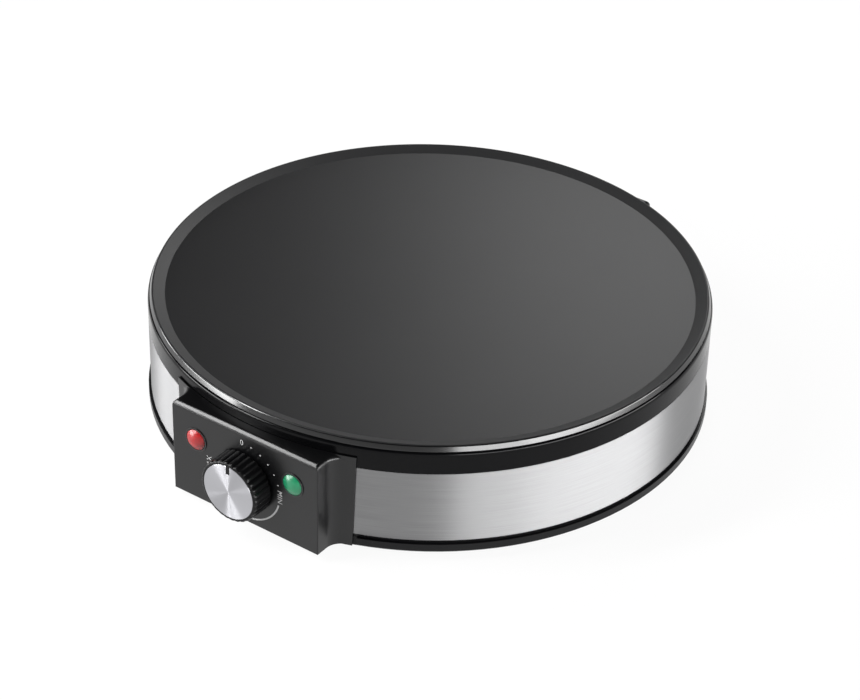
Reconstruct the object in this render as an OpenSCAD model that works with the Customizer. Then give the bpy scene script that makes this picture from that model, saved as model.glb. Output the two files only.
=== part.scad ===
// Electric crepe maker: a cast cooking plate on a low round drum, with a
// control housing and knob at the front and a cord housing at the back.
// Millimetres. Z is up, the counter is z = 0 and the knob faces -Y.

/* [Cooking plate] */
// Radius of the plate at the foot of its glossy side
plate_r = 152; // [142:1:167]
// Width of the rim band that slopes up round the cooking surface
rim_w = 7; // [5:0.5:10]
// Height of the rim above the cooking surface
rim_rise = 2.5; // [1.5:0.1:3.5]
// Thickness of the plate under the cooking surface
plate_t = 5; // [4:0.5:7]
// Height of the plate's rim above the collar
plate_side_h = 3.5; // [3:0.1:6]
// How far the glossy side leans in, from its foot up to the rim
side_lean = 1.4; // [0.6:0.1:2]
// Air gap round the plate, inside the collar
plate_gap = 0.5; // [0.3:0.1:1]

/* [Drum] */
// Thickness of the plastic walls
wall = 2.5; // [2:0.1:3.2]
// Height of the base pan's outer band
base_band_h = 5.6; // [4.5:0.1:9]
// How far the base band stands out from the steel band
base_proud = 1.4; // [0.8:0.1:2.5]
// Height of the shadow gap under the steel band
reveal_h = 1.7; // [1:0.1:3]
// Height of the steel band
steel_h = 41.7; // [40:0.1:60]
// Thickness of the steel band
steel_t = 0.6; // [0.4:0.1:1]
// Height of the collar's outer wall
ring_wall_h = 10.3; // [9.5:0.1:14]
// Height of the collar's sloping shoulder
shoulder_h = 2.2; // [0.8:0.1:2.5]
// Width of the collar's sloping shoulder
shoulder_w = 1; // [0.8:0.1:4]
// Depth of the skirts that locate the steel band
skirt_h = 6; // [4:0.5:9]

/* [Control housing] */
// Width of the control panel
box_w = 94.6; // [90:0.2:110]
// How far the panel stands out from the drum
box_out = 7.3; // [6:0.1:15]
// Drop from the collar's shoulder to the top of the housings
box_drop = 3.6; // [2:0.1:6]
// Radius of the coves that run from the housings' sides into the drum
cove_r = 9; // [6:0.5:11]
// Width of the lap that covers each steel end, outside the housing's side
lap_w = 10.7; // [10:0.1:14]
// Thickness of that lap
lap_t = 0.7; // [0.5:0.1:1.2]
// How much narrower the lap is at the foot
lap_taper = 1.8; // [0:0.1:3]
// Radius of the top front edge
edge_r = 3; // [1.5:0.5:4]
// Radius of the upright front edges
corner_r = 0.7; // [0.5:0.1:2.5]

/* [Rear housing] */
// Width of the rear housing
rear_w = 82; // [74:1:96]
// How far the rear housing stands out from the drum
rear_out = 7.6; // [6:0.1:15]

/* [Knob] */
// Height of the knob's axis above the underside of the base
knob_rise = 26; // [24:0.5:28]
// Radius of the knob over its flutes
knob_r = 18.3; // [16:0.1:20]
// Height of the knob with its cap, from the panel
knob_h = 13; // [12:0.5:18]
// Radius of the metal cap
cap_r = 15.9; // [13:0.1:16]
// Thickness of the metal cap
cap_t = 1.2; // [0.8:0.1:1.6]
// Number of flutes
flutes = 30; // [20:1:40]
// Depth of a flute
flute_d = 1; // [0.5:0.1:1.3]
// Length of the pointer from the cap's edge inwards
pointer_l = 4.8; // [3:0.1:8]
// Width of the pointer
pointer_w = 2.2; // [1.5:0.1:3]

/* [Lamps] */
// Radius of a lamp lens
lamp_r = 6; // [4:0.1:7]
// Distance between the two lamps
lamp_pitch = 63; // [56:0.5:66]
// Height of the lamps above the knob's axis
lamp_rise = 11.5; // [6:0.5:12]
// Height of the lens dome
dome_h = 2.2; // [1:0.1:3]

/* [Heater] */
// Radius of the heating element's ring
element_ring_r = 92; // [84:1:98]
// Radius of the element's tube
element_r = 3.7; // [3:0.1:4.3]
// Distance between the element's two legs, before the bend
leg_pitch = 38; // [34:1:46]
// Radius of the element's bends
bend_r = 7; // [6:0.5:9]
// Radius of the heat shield
shield_r = 134; // [130:0.5:136]
// Thickness of the heat shield
shield_t = 0.8; // [0.6:0.1:1.2]
// Height of the shield's rim
shield_rim_h = 8; // [5:0.5:9]

/* [Thermostat] */
// Width of the thermostat body
thermo_w = 26; // [22:1:30]
// Depth of the thermostat body
thermo_d = 28; // [24:1:32]
// Height of the thermostat body
thermo_h = 20; // [18:1:24]
// Distance from the panel's back to the thermostat body
thermo_back = 24; // [18:0.5:28]
// Radius of the thermostat shaft
shaft_r = 3; // [2.5:0.1:3.5]
// Width of the bracket under the plate
bracket_w = 16; // [12:1:20]
// Thickness of the bracket
bracket_t = 1.5; // [1:0.1:2]

/* [Fixings] */
// Radius of the circle of plate screws
post_ring_r = 120; // [114:0.5:121]
// Number of plate screws
post_count = 6; // [3:3:6]
// Length of the insulating spacers
spacer_h = 9; // [6:0.5:14]
// Radius of the plate screws
plate_screw_r = 2; // [1.5:0.1:2.2]
// Radius of the small screws
small_screw_r = 1.5; // [1.2:0.1:1.7]
// Height of a foot under the base
foot_h = 4; // [3:0.5:8]
// Radius of a foot
foot_r = 9; // [7:0.5:10]
// Radius of the circle of feet
foot_ring_r = 125; // [115:0.5:128]

/* [Cord entry] */
// Radius of the hole for the cord
cord_r = 3.6; // [3:0.1:4.5]
// Height of the cord hole above the underside of the base
cord_rise = 13; // [12:0.5:18]

/* [Hidden] */
// Running play of the shaft, and of other close fits
fit_play = 0.05;
// Play between parts that only lie beside each other
part_play = 0.3;
// Play round a screw in a through hole
hole_play = 0.2;
// Thickness of a collar's or lens's thin lip
thin = 0.5;
// Overlap that joins two forms of one piece
join = 0.5;

// Heights, from the counter up
z_base = foot_h;
z_floor = z_base + wall;
z_band = z_base + base_band_h;
z_steel = z_band + reveal_h;
z_ring = z_steel + steel_h;
z_shoulder = z_ring + ring_wall_h;
z_lip = z_shoulder + shoulder_h;
z_rim = z_lip + plate_side_h;
z_cook = z_rim - rim_rise;
z_under = z_cook - plate_t;
z_skirt = z_ring - skirt_h;
z_box = z_shoulder - box_drop;
z_knob = z_base + knob_rise;
z_cord = z_base + cord_rise;

// Radii of the drum, and the bead of the plate's rim that overhangs the collar's lip
bead_w = 2;
bead_air = 0.3;
body_r = plate_r - bead_w;
lip_r = body_r + plate_gap;
drum_r = plate_r + shoulder_w;
base_r = drum_r + base_proud;
skirt_out_r = drum_r - steel_t - part_play;
skirt_in_r = skirt_out_r - wall;
reveal_r = drum_r - steel_t / 2;
bottom_edge = 1.5;

// The plate and the collar's flange under it
crest_r = 1;
crest_steps = 6;
plate_skirt_w = 6;
plate_skirt_h = 1;
flange_air = 2.5;
flange_w = 8.6;
z_flange = z_under - flange_air;
z_flange_low = z_flange - wall;

// Heater levels, from the plate's underside down
element_air = 0.2;
groove_play = 0.1;
rib_half_w = 6;
rib_end_air = 1.5;
z_element = z_under - element_r - element_air;
rib_under = 1.5;
z_rib = z_element - rib_under;
z_strap = z_element - element_r - groove_play;
strap_t = 1.2;
strap_w = 12;
small_head_r = 2.8;
small_head_h = 2.2;
pilot_spare = 1;
clamp_bite = 5;
shield_air = 2.4;
leg_air = 2.5;
window_edge = 3;
leg_drop = 7;
z_shield = z_strap - strap_t - small_head_h - shield_air;
gap_a = asin((leg_pitch / 2 + bend_r) / element_ring_r);
leg_x = leg_pitch / 2 + bend_r * (1 - cos(gap_a));
leg_y = -element_ring_r * cos(gap_a) - bend_r * sin(gap_a);
z_leg = z_shield - shield_t - leg_drop;
pin_r = 1.6;
pin_l = 10;
z_pin = z_leg - pin_l;
bead_h = 1.5;
bead_r = element_r - 0.4;
clamp_angles = [30, 150, 210, 330];
clamp_boss_r = 4.5;
clamp_gap = 4.5;
clamp_ring_r = element_ring_r - rib_half_w - clamp_boss_r - clamp_gap;

// Posts under the plate and their screws
boss_r = 6;
post_r = 7;
head_r = 3.8;
head_h = 2.6;
head_seat = 6;
z_post = z_shield - shield_t - spacer_h;
plate_screw_bite = 10;

// Columns that join the collar to the base
column_angles = [10, 45, 135, 170, 225, 315];
column_r = 6;
ring_boss_r = 5.5;
column_ring_r = skirt_in_r - ring_boss_r + join;
column_drop = 20;
z_column = z_flange_low - column_drop;
ring_screw_r = 1.75;
ring_screw_bite = 15;

// Control and rear housings
box_half = box_w / 2;
box_face = drum_r + box_out;
rear_half = rear_w / 2;
rear_face = drum_r + rear_out;
bore_r = drum_r + part_play;
lap_r = bore_r + lap_t;
doorway_d = 12;
lug_w = 12;
lug_h = 7.5;
lug_inset = 8.8;
lug_reach = 17;
lug_screw_in = 9;
hook_half_w = 20;
hook_t = 2.5;
hook_up = 3.5;
hook_depth = 2.3;
band_tuck = 5;

// Knob, along its own axis, from the panel outwards
knob_gap = 0.7;
knob_edge = 0.4;
knob_taper = 0.3;
knob_front = knob_h - knob_edge;
cap_seat = knob_h - cap_t;
hub_r = shaft_r + 2.5;
knob_web = 1.5;
knob_hollow_r = cap_r - 1.5;
flute_r = 1.5;
flat_in = 0.5;
shaft_tip = cap_seat - knob_web - part_play;

// Thermostat, in the drum's plan
thermo_front = -(box_face - wall - thermo_back);
thermo_rear = thermo_front + thermo_d;
thermo_mid = (thermo_front + thermo_rear) / 2;
bush_r = 5;
bush_l = 8;
shaft_in = 7;
blade_l = 8;
blade_w = 6.3;
blade_t = 0.8;
blade_up = 5;
z_blade = z_knob + blade_up;
terminal_l = 10;
terminal_w = 7.8;
terminal_h = 3.2;
terminal_x = thermo_w / 2 + 1 + terminal_l;
tab_l = 15;
tab_bite = 7;
z_tab = z_shield + thin + bracket_t;
tab_screw_dy = 8;
tab_boss_y = thermo_rear + bracket_t + tab_screw_dy;
strap_screw_dz = 6;
strap_bite = 6;

// Fuse and earth tag under the plate
fuse_x = 30;
fuse_y = -45;
fuse_r = 2;
fuse_l = 11;
fuse_lead_l = 6;
fuse_lead_r = thin;
z_fuse = z_under - fuse_r - groove_play;
clip_w = 8;
clip_t = 1.2;
clip_l = 19;
clip_screw_dy = 10;
clip_bite = 3;
z_clip = z_fuse - fuse_r - groove_play;
earth_x = -30;
earth_y = -35;
tag_r = 4.5;
tag_t = 0.8;
tag_l = 12;
tag_bite = 4.5;
tag_side = 0.4;
tag_crimp_h = 2.6;
tag_drop = 6;
z_tag = z_under - tag_drop;
tag_boss_r = 4;
wire_hole_r = 4;
wire_hole_dx = 20;
earth_hole_x = earth_x - 2 * tag_l;

// Lamp holders
holder_t = 0.6;
holder_lip = 0.9;
holder_l = 15;
holder_back = 2;
lens_in = 4;
neon_r = 2.8;
neon_l = 8;

// Cord clamp and terminal block on the base floor
gland_r = cord_r + 3.3;
gland_flange_r = cord_r + 5.4;
gland_flange_t = 2;
gland_catch_r = gland_r + 0.8;
gland_in = 6;
cradle_w = 26;
cradle_d = 8;
cradle_in = 15;
cradle_y = drum_r - cradle_in;
clamp_h = 6;
clamp_screw_x = 9;
clamp_screw_bite = 7;
block_w = 32;
block_d = 16;
block_h = 14;
block_gap = 22;
block_y = cradle_y - block_gap;
block_pitch = 10;
block_hole_r = 1.9;
pocket_t = 1.5;
pocket_h = 4;
block_hole_h = 6.5;
z_block_hole = z_floor + block_hole_h;
block_screw_r = 2.2;
block_screw_d = 3;

// Feet
stem_r = 3;
barb_r = 3.8;
barb_h = 2;
foot_seat = 1;

// Vents and ribs of the base floor
vent_count = 24;
vent_w = 2.6;
vent_l = 26;
vent_in_r = 38;
rib_h = 3;
rib_t = 2;
rib_in_r = 70;
rib_out_r = 102;

// Wires
wire_r = 1.3;
lead_r = 1;
wire_sides = 8;
wire_steps = 4;
wire_end = 5;
wire_bow = 10;
wires_up = 5.5;
z_wires = z_floor + wires_up;
tag_bead = 1.3;
main_wire_y = thermo_mid + 1.4;
lead_y = thermo_mid - 2.3;

// The drum's axis lies behind the middle, because the knob stands out further
// in front than the cord gland does behind
front_reach = box_face + knob_h;
rear_reach = rear_face + gland_flange_t;
drum_y = (front_reach - rear_reach) / 2;

$fn = 96;
round_fn = 180;

// Moves a piece from the drum's own axis to its place in the model
module placed() {
    translate([0, drum_y, 0]) children();
}

// Copies round the drum's axis, at a radius and at given angles
module at_angles(angles, r) {
    for (a = angles) rotate(a) translate([r, 0, 0]) children();
}

// The evenly spaced angles of n copies, from a first angle
function ring_angles(n, first) = [for (i = [0:n - 1]) first + i * 360 / n];

// Turns a piece so that its own +Z points out of the front panel
module on_panel(x, z) {
    translate([x, -box_face, z]) rotate([90, 0, 0]) children();
}

// Turns a piece so that its own +Z points out of the rear housing
module on_rear(x, z) {
    translate([x, rear_face, z]) rotate([-90, 0, 0]) children();
}

// A pan-head screw that points up, with its head's seat at z = 0
module pan_screw(r, length, hr, hh) {
    slot = hr / 4;
    difference() {
        union() {
            translate([0, 0, -hh]) cylinder(r = hr, h = hh);
            translate([0, 0, -join]) cylinder(r = r, h = length + join);
        }
        for (a = [0, 90]) rotate(a)
            translate([-hr * 0.6, -slot / 2, -hh - join])
            cube([hr * 1.2, slot, hh / 2 + join]);
    }
}

// A ring with a rectangular section
module hoop(outer, inner, low, high) {
    rotate_extrude($fn = round_fn)
        translate([inner, low])
        square([outer - inner, high - low]);
}

// ---- Cooking plate ----

// Section of the plate: surface, sloping rim, rounded crest, leaning side, the bead's
// underside over the collar's lip, and the body and skirt inside the collar
module plate_section() {
    z_bead = z_lip + bead_air;
    slope = atan(rim_rise / rim_w);
    lean = atan(side_lean / (z_rim - z_bead));
    crest_z = z_rim - crest_r;
    crest_x = plate_r - (crest_z - z_bead) * tan(lean) - crest_r / cos(lean);
    turn = 90 + slope - lean;
    crest = [for (i = [0:crest_steps])
        let (a = 90 + slope - turn * i / crest_steps)
        [crest_x + crest_r * cos(a), crest_z + crest_r * sin(a)]];
    polygon(concat(
        [[0, z_under], [0, z_cook], [plate_r - side_lean - rim_w, z_cook]],
        crest,
        [
            [plate_r, z_bead],
            [body_r, z_bead],
            [body_r, z_under - plate_skirt_h],
            [body_r - plate_skirt_w, z_under - plate_skirt_h],
            [body_r - plate_skirt_w - plate_skirt_h, z_under]
        ]
    ));
}

// Rib under the plate that holds the element in a groove, open at the front
module element_rib() {
    front = leg_pitch / 2 + bend_r + rib_end_air;
    difference() {
        hoop(element_ring_r + rib_half_w, element_ring_r - rib_half_w, z_rib, z_under + join);
        translate([-front, -element_ring_r - 2 * rib_half_w, z_rib - join])
            cube([2 * front, element_ring_r, z_under - z_rib + join]);
    }
}

module element_groove() {
    r = element_r + groove_play;
    rotate_extrude($fn = round_fn) translate([element_ring_r, z_element]) {
        circle(r = r, $fn = 48);
        translate([-r, z_rib - z_element - join]) square([2 * r, z_element - z_rib + join]);
    }
}

// A boss under the plate, with a pilot hole a little deeper than its screw bites
module plate_boss(r, low, hole_r, bite) {
    difference() {
        translate([0, 0, low]) cylinder(r = r, h = z_under - low + join);
        translate([0, 0, low - join]) cylinder(r = hole_r, h = bite + pilot_spare + join);
    }
}

module cooking_plate() {
    pilot = small_screw_r + fit_play;
    color("#3a3a3a") placed() {
        difference() {
            union() {
                rotate_extrude($fn = round_fn) plate_section();
                element_rib();
            }
            element_groove();
        }
        at_angles(ring_angles(post_count, 0), post_ring_r)
            plate_boss(boss_r, z_shield, plate_screw_r + fit_play, plate_screw_bite);
        at_angles(clamp_angles, clamp_ring_r)
            plate_boss(clamp_boss_r, z_strap, pilot, clamp_bite);
        translate([fuse_x, fuse_y + clip_screw_dy, 0])
            plate_boss(tag_boss_r, z_clip, pilot, clip_bite);
        translate([earth_x, earth_y, 0]) plate_boss(tag_boss_r, z_tag, pilot, tag_bite);
        translate([0, tab_boss_y, 0]) plate_boss(clamp_boss_r, z_tab, pilot, tab_bite);
    }
}

// ---- Drum ----

// Section of the collar: wall, shoulder, lip, flange under the plate, skirt
module ring_section() {
    flange_r = skirt_in_r - flange_w;
    polygon([
        [drum_r, z_ring], [drum_r, z_shoulder], [plate_r, z_lip], [lip_r, z_lip], [lip_r, z_flange],
        [flange_r, z_flange], [flange_r, z_flange_low], [skirt_in_r, z_flange_low],
        [skirt_in_r, z_skirt], [skirt_out_r, z_skirt], [skirt_out_r, z_ring]
    ]);
}

// Way through a wall of the drum, behind a housing of the given half width
module doorway(half, low, high) {
    translate([-half + wall, -base_r - join, low])
        cube([2 * (half - wall), base_r - skirt_in_r + doorway_d, high - low]);
}

module both_doorways(low, high) {
    doorway(box_half, low, high);
    rotate(180) doorway(rear_half, low, high);
}

module upper_ring() {
    color("#1c1c1c") placed() difference() {
        union() {
            difference() {
                rotate_extrude($fn = round_fn) ring_section();
                both_doorways(z_skirt - join, z_ring);
            }
            at_angles(column_angles, column_ring_r)
                translate([0, 0, z_column])
                cylinder(r = ring_boss_r, h = z_flange_low - z_column + join);
        }
        at_angles(column_angles, column_ring_r)
            translate([0, 0, z_column - join])
            cylinder(r = ring_screw_r + fit_play, h = ring_screw_bite + pilot_spare + join);
    }
}

// Half of the steel band, on the side given by sign
module steel_half(side) {
    front_end = box_half + lap_w - lap_taper - band_tuck;
    rear_end = rear_half + lap_w - lap_taper - band_tuck;
    difference() {
        hoop(drum_r, drum_r - steel_t, z_steel, z_ring);
        translate([side > 0 ? -2 * drum_r : 0, -2 * drum_r, z_steel - join])
            cube([2 * drum_r, 4 * drum_r, steel_h + 2 * join]);
        translate([-front_end, -2 * drum_r, z_steel - join])
            cube([2 * front_end, 2 * drum_r, steel_h + 2 * join]);
        translate([-rear_end, 0, z_steel - join])
            cube([2 * rear_end, 2 * drum_r, steel_h + 2 * join]);
    }
}

module steel_band_left() {
    color("#c8c8c8") placed() steel_half(-1);
}

module steel_band_right() {
    color("#c8c8c8") placed() steel_half(1);
}

// Section of the base pan: floor, outer band, shadow gap and locating lip
module base_section() {
    lip_top = z_steel + skirt_h;
    lip_t = wall - part_play;
    polygon([
        [0, z_base], [base_r - bottom_edge, z_base], [base_r, z_base + bottom_edge],
        [base_r, z_band], [reveal_r, z_band], [reveal_r, z_steel],
        [skirt_out_r, z_steel], [skirt_out_r, lip_top], [skirt_out_r - lip_t, lip_top],
        [skirt_out_r - lip_t, z_floor], [0, z_floor]
    ]);
}

// The band is cut back to the drum's own radius where a housing's lap lies
module lap_recess(half) {
    reach = half + lap_w + part_play;
    translate([0, 0, z_base - join]) linear_extrude(z_ring - z_base) difference() {
        translate([-reach, -base_r - join]) square([2 * reach, base_r / 2]);
        circle(r = drum_r, $fn = round_fn);
    }
}

module floor_vents() {
    at_angles(ring_angles(vent_count, 7.5), vent_in_r)
        translate([0, -vent_w / 2, z_base - join])
        cube([vent_l, vent_w, wall + 2 * join]);
}

module floor_ribs() {
    at_angles(ring_angles(post_count, 30), rib_in_r)
        translate([0, -rib_t / 2, z_floor - join])
        cube([rib_out_r - rib_in_r, rib_t, rib_h + join]);
}

// Low wall that keeps the terminal block in its place
module block_pocket() {
    w = block_w + 2 * part_play;
    d = block_d + 2 * part_play;
    translate([0, block_y, z_floor - join]) linear_extrude(pocket_h + join) difference() {
        square([w + 2 * pocket_t, d + 2 * pocket_t], center = true);
        square([w, d], center = true);
    }
}

module cord_cradle() {
    difference() {
        translate([-cradle_w / 2, cradle_y, z_floor - join])
            cube([cradle_w, cradle_d, z_cord - z_floor + join]);
        translate([0, cradle_y - join, z_cord]) rotate([-90, 0, 0])
            cylinder(r = cord_r, h = cradle_d + 2 * join);
        for (side = [-1, 1])
            translate([side * clamp_screw_x, cradle_y + cradle_d / 2, z_cord - clamp_screw_bite])
            translate([0, 0, -pilot_spare])
            cylinder(r = small_screw_r + fit_play, h = clamp_screw_bite + pilot_spare + join);
    }
}

// Places of a housing's two floor screws, for a housing of the given half width
module lug_places(half) {
    for (side = [-1, 1])
        translate([side * (half - wall - lug_inset), -(drum_r - lug_screw_in), 0]) children();
}

module both_lug_places() {
    lug_places(box_half) children();
    rotate(180) lug_places(rear_half) children();
}

// A hollow post on the floor, with a seat for the screw's head inside
module base_post(r, top) {
    translate([0, 0, z_base]) cylinder(r = r, h = top - z_base);
}

module base_post_hole(hole_r, seat_r, top) {
    translate([0, 0, z_base - join]) cylinder(r = seat_r, h = head_seat + join);
    translate([0, 0, z_base - join]) cylinder(r = hole_r, h = top - z_base + 2 * join);
}

module base_pan() {
    color("#202020") placed() difference() {
        union() {
            difference() {
                rotate_extrude($fn = round_fn) base_section();
                both_doorways(z_floor, z_ring);
                lap_recess(box_half);
                rotate(180) lap_recess(rear_half);
                floor_vents();
            }
            floor_ribs();
            block_pocket();
            cord_cradle();
            at_angles(ring_angles(post_count, 0), post_ring_r) base_post(post_r, z_post);
            at_angles(column_angles, column_ring_r) base_post(column_r, z_column);
        }
        at_angles(ring_angles(post_count, 0), post_ring_r)
            base_post_hole(plate_screw_r + hole_play, head_r + hole_play, z_post);
        at_angles(column_angles, column_ring_r)
            base_post_hole(ring_screw_r + hole_play, head_r + hole_play, z_column);
        both_lug_places() translate([0, 0, z_base - join])
            cylinder(r = small_screw_r + hole_play, h = wall + 2 * join);
        at_angles(ring_angles(4, 45), foot_ring_r) {
            translate([0, 0, z_base - join])
                cylinder(r = foot_r + hole_play, h = foot_seat + join);
            translate([0, 0, z_base - join])
                cylinder(r = stem_r + groove_play, h = wall + 2 * join);
        }
    }
}

module rubber_feet() {
    color("#151515") placed() at_angles(ring_angles(4, 45), foot_ring_r) {
        cylinder(r1 = foot_r - 1, r2 = foot_r, h = 1);
        translate([0, 0, 1]) cylinder(r = foot_r, h = foot_h + foot_seat - 1);
        cylinder(r = stem_r, h = z_floor + join);
        translate([0, 0, z_floor]) cylinder(r1 = barb_r, r2 = stem_r, h = barb_h);
    }
}

// ---- Housings ----

// Plan of a housing: front block, coves and the lap on the drum's side
module housing_plan(half, face) {
    cove_x = half + cove_r;
    cove_y = sqrt(pow(lap_r + cove_r, 2) - pow(cove_x, 2));
    near = lap_r / (lap_r + cove_r);
    depth = face - sqrt(pow(bore_r, 2) - pow(half, 2)) + 1;
    difference() {
        union() {
            translate([-half + corner_r, -face]) square([2 * (half - corner_r), depth]);
            translate([-half, -face + corner_r]) square([2 * half, depth - corner_r]);
            for (side = [-1, 1])
                translate([side * (half - corner_r), -face + corner_r])
                circle(r = corner_r, $fn = 32);
            intersection() {
                circle(r = lap_r, $fn = round_fn);
                translate([-half - lap_w, -lap_r - 1]) square([2 * (half + lap_w), lap_r / 2]);
            }
            for (side = [-1, 1]) polygon([
                [side * (half - 1), -cove_y], [side * cove_x, -cove_y],
                [side * cove_x * near, -cove_y * near], [side * (half - 1), -cove_y * near]
            ]);
        }
        circle(r = bore_r, $fn = round_fn);
        for (side = [-1, 1]) translate([side * cove_x, -cove_y]) circle(r = cove_r);
    }
}

// Side view of a housing, with the rounded top front edge
module housing_side(face) {
    h = z_box - z_base;
    translate([-face + edge_r, z_base]) square([face, h]);
    translate([-face, z_base]) square([face, h - edge_r]);
    translate([-face + edge_r, z_box - edge_r]) circle(r = edge_r, $fn = 48);
}

// Front view of a housing, which leaves the lap narrower at the foot
module housing_front(half) {
    top = half + lap_w;
    foot = top - lap_taper;
    polygon([[-foot, z_base], [foot, z_base], [top, z_box], [-top, z_box]]);
}

// Foot that lies on the base floor inside the drum
module housing_lugs(half, face) {
    inner = drum_r - lug_reach;
    difference() {
        for (side = [-1, 1])
            translate([side * (half - wall - lug_inset) - lug_w / 2, -face + wall - join, z_floor])
            cube([lug_w, face - wall + join - inner, lug_h]);
        lug_places(half) translate([0, 0, z_floor - join])
            cylinder(r = small_screw_r + fit_play, h = lug_h - pilot_spare + join);
    }
}

// Tongue under the top that hooks behind the collar's wall
module housing_hook(face) {
    top = z_ring - part_play;
    back_r = skirt_in_r - part_play;
    translate([-hook_half_w, -face + wall - join, top - hook_t])
        cube([2 * hook_half_w, face - wall + join - bore_r, z_box - wall + join - top + hook_t]);
    intersection() {
        translate([-hook_half_w, -bore_r - 1, top - hook_t])
            cube([2 * hook_half_w, bore_r - back_r + hook_depth + 1, hook_t + hook_up]);
        difference() {
            cylinder(r = drum_r + 1, h = z_ring + hook_up, $fn = round_fn);
            difference() {
                translate([0, 0, top]) cylinder(r = drum_r + 2, h = hook_up + 1, $fn = round_fn);
                translate([0, 0, top - 1]) cylinder(r = back_r, h = hook_up + 3, $fn = round_fn);
            }
        }
    }
}

module housing_shell(half, face) {
    difference() {
        intersection() {
            translate([0, 0, z_base]) linear_extrude(z_box - z_base) housing_plan(half, face);
            rotate([90, 0, 90]) linear_extrude(3 * half, center = true) housing_side(face);
            rotate([90, 0, 0]) linear_extrude(2 * face) housing_front(half);
        }
        translate([-half + wall, -face + wall, z_floor])
            cube([2 * (half - wall), face, z_box - z_base - 2 * wall]);
    }
    housing_lugs(half, face);
    housing_hook(face);
}

module lamp_places() {
    for (side = [-1, 1]) on_panel(side * lamp_pitch / 2, z_knob + lamp_rise) children();
}

module control_housing() {
    color("#262626") placed() difference() {
        housing_shell(box_half, box_face);
        on_panel(0, z_knob) translate([0, 0, -wall - join])
            cylinder(r = bush_r + part_play, h = wall + 2 * join);
        lamp_places() translate([0, 0, -wall - join])
            cylinder(r = lamp_r + holder_t + fit_play, h = wall + 2 * join);
    }
}

module rear_housing() {
    color("#202020") placed() difference() {
        rotate(180) housing_shell(rear_half, rear_face);
        on_rear(0, z_cord) translate([0, 0, -wall - join])
            cylinder(r = gland_r + fit_play, h = wall + 2 * join);
    }
}

module housing_screws() {
    color("#b0b0b0") placed() both_lug_places() translate([0, 0, z_base])
        pan_screw(small_screw_r, wall + lug_h - 2 * pilot_spare, small_head_r, small_head_h);
}

module ring_screws() {
    seat = z_base + head_seat;
    color("#b0b0b0") placed() at_angles(column_angles, column_ring_r)
        translate([0, 0, seat])
        pan_screw(ring_screw_r, z_column + ring_screw_bite - seat, head_r, head_h);
}

module plate_screws() {
    seat = z_base + head_seat;
    color("#b0b0b0") placed() at_angles(ring_angles(post_count, 0), post_ring_r)
        translate([0, 0, seat])
        pan_screw(plate_screw_r, z_shield + plate_screw_bite - seat, head_r, head_h);
}

module insulating_spacers() {
    color("#e8e2d4") placed() at_angles(ring_angles(post_count, 0), post_ring_r)
        difference() {
            translate([0, 0, z_post]) cylinder(r = boss_r, h = spacer_h);
            translate([0, 0, z_post - join])
                cylinder(r = plate_screw_r + hole_play, h = spacer_h + 2 * join);
        }
}

// ---- Heater ----

module heat_shield() {
    window_w = bracket_w + 2 * window_edge;
    window_y = thermo_rear - 2 * window_edge;
    window_d = tab_boss_y + clamp_boss_r + window_edge - window_y;
    color("#a8a8a8") placed() difference() {
        rotate_extrude($fn = round_fn) {
            translate([0, z_shield - shield_t]) square([shield_r, shield_t]);
            translate([shield_r - shield_t, z_shield - shield_t])
                square([shield_t, shield_rim_h]);
        }
        at_angles(ring_angles(post_count, 0), post_ring_r) translate([0, 0, z_shield])
            cylinder(r = boss_r + part_play, h = shield_rim_h);
        translate([0, 0, z_shield - shield_t - join]) linear_extrude(shield_t + 2 * join) {
            for (side = [-1, 1]) translate([side * leg_x, leg_y]) circle(r = element_r + leg_air);
            translate([-window_w / 2, window_y]) square([window_w, window_d]);
            for (a = ring_angles(post_count, 0)) rotate(a) translate([post_ring_r, 0])
                circle(r = plate_screw_r + hole_play);
            for (side = [-1, 1]) translate([fuse_x + side * wire_hole_dx, fuse_y])
                circle(r = wire_hole_r);
            translate([earth_hole_x, earth_y]) circle(r = wire_hole_r);
        }
    }
}

// Bend and leg at one end of the element's ring
module element_leg() {
    rotate(gap_a - 90) translate([element_ring_r, 0, z_element]) rotate(-90) {
        rotate([0, 90, 0]) cylinder(r = element_r - groove_play, h = 2 * join, center = true);
        translate([0, 0, -bend_r]) rotate([90, 0, 0]) rotate_extrude(angle = 90)
            translate([bend_r, 0]) circle(r = element_r, $fn = 48);
        translate([bend_r, 0, z_leg - z_element])
            cylinder(r = element_r, h = z_element - bend_r - z_leg, $fn = 48);
    }
}

module heating_element() {
    color("#6b5a4c") placed() {
        rotate(gap_a - 90) translate([0, 0, z_element])
            rotate_extrude(angle = 360 - 2 * gap_a, $fn = round_fn)
            translate([element_ring_r, 0]) circle(r = element_r, $fn = 48);
        element_leg();
        mirror([1, 0, 0]) element_leg();
    }
}

module element_pins() {
    color("#d8d0c0") placed() for (side = [-1, 1]) translate([side * leg_x, leg_y, 0]) {
        translate([0, 0, z_leg - bead_h]) cylinder(r = bead_r, h = bead_h);
        translate([0, 0, z_pin]) cylinder(r = pin_r, h = z_leg - bead_h - z_pin + join);
    }
}

module element_clamps() {
    inner = clamp_ring_r - clamp_boss_r - clamp_gap / 3;
    outer = element_ring_r + rib_half_w;
    color("#b8b8b8") placed() at_angles(clamp_angles, 0) difference() {
        translate([inner, -strap_w / 2, z_strap - strap_t])
            cube([outer - inner, strap_w, strap_t]);
        translate([clamp_ring_r, 0, z_strap - strap_t - join])
            cylinder(r = small_screw_r + hole_play, h = strap_t + 2 * join);
    }
}

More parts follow.
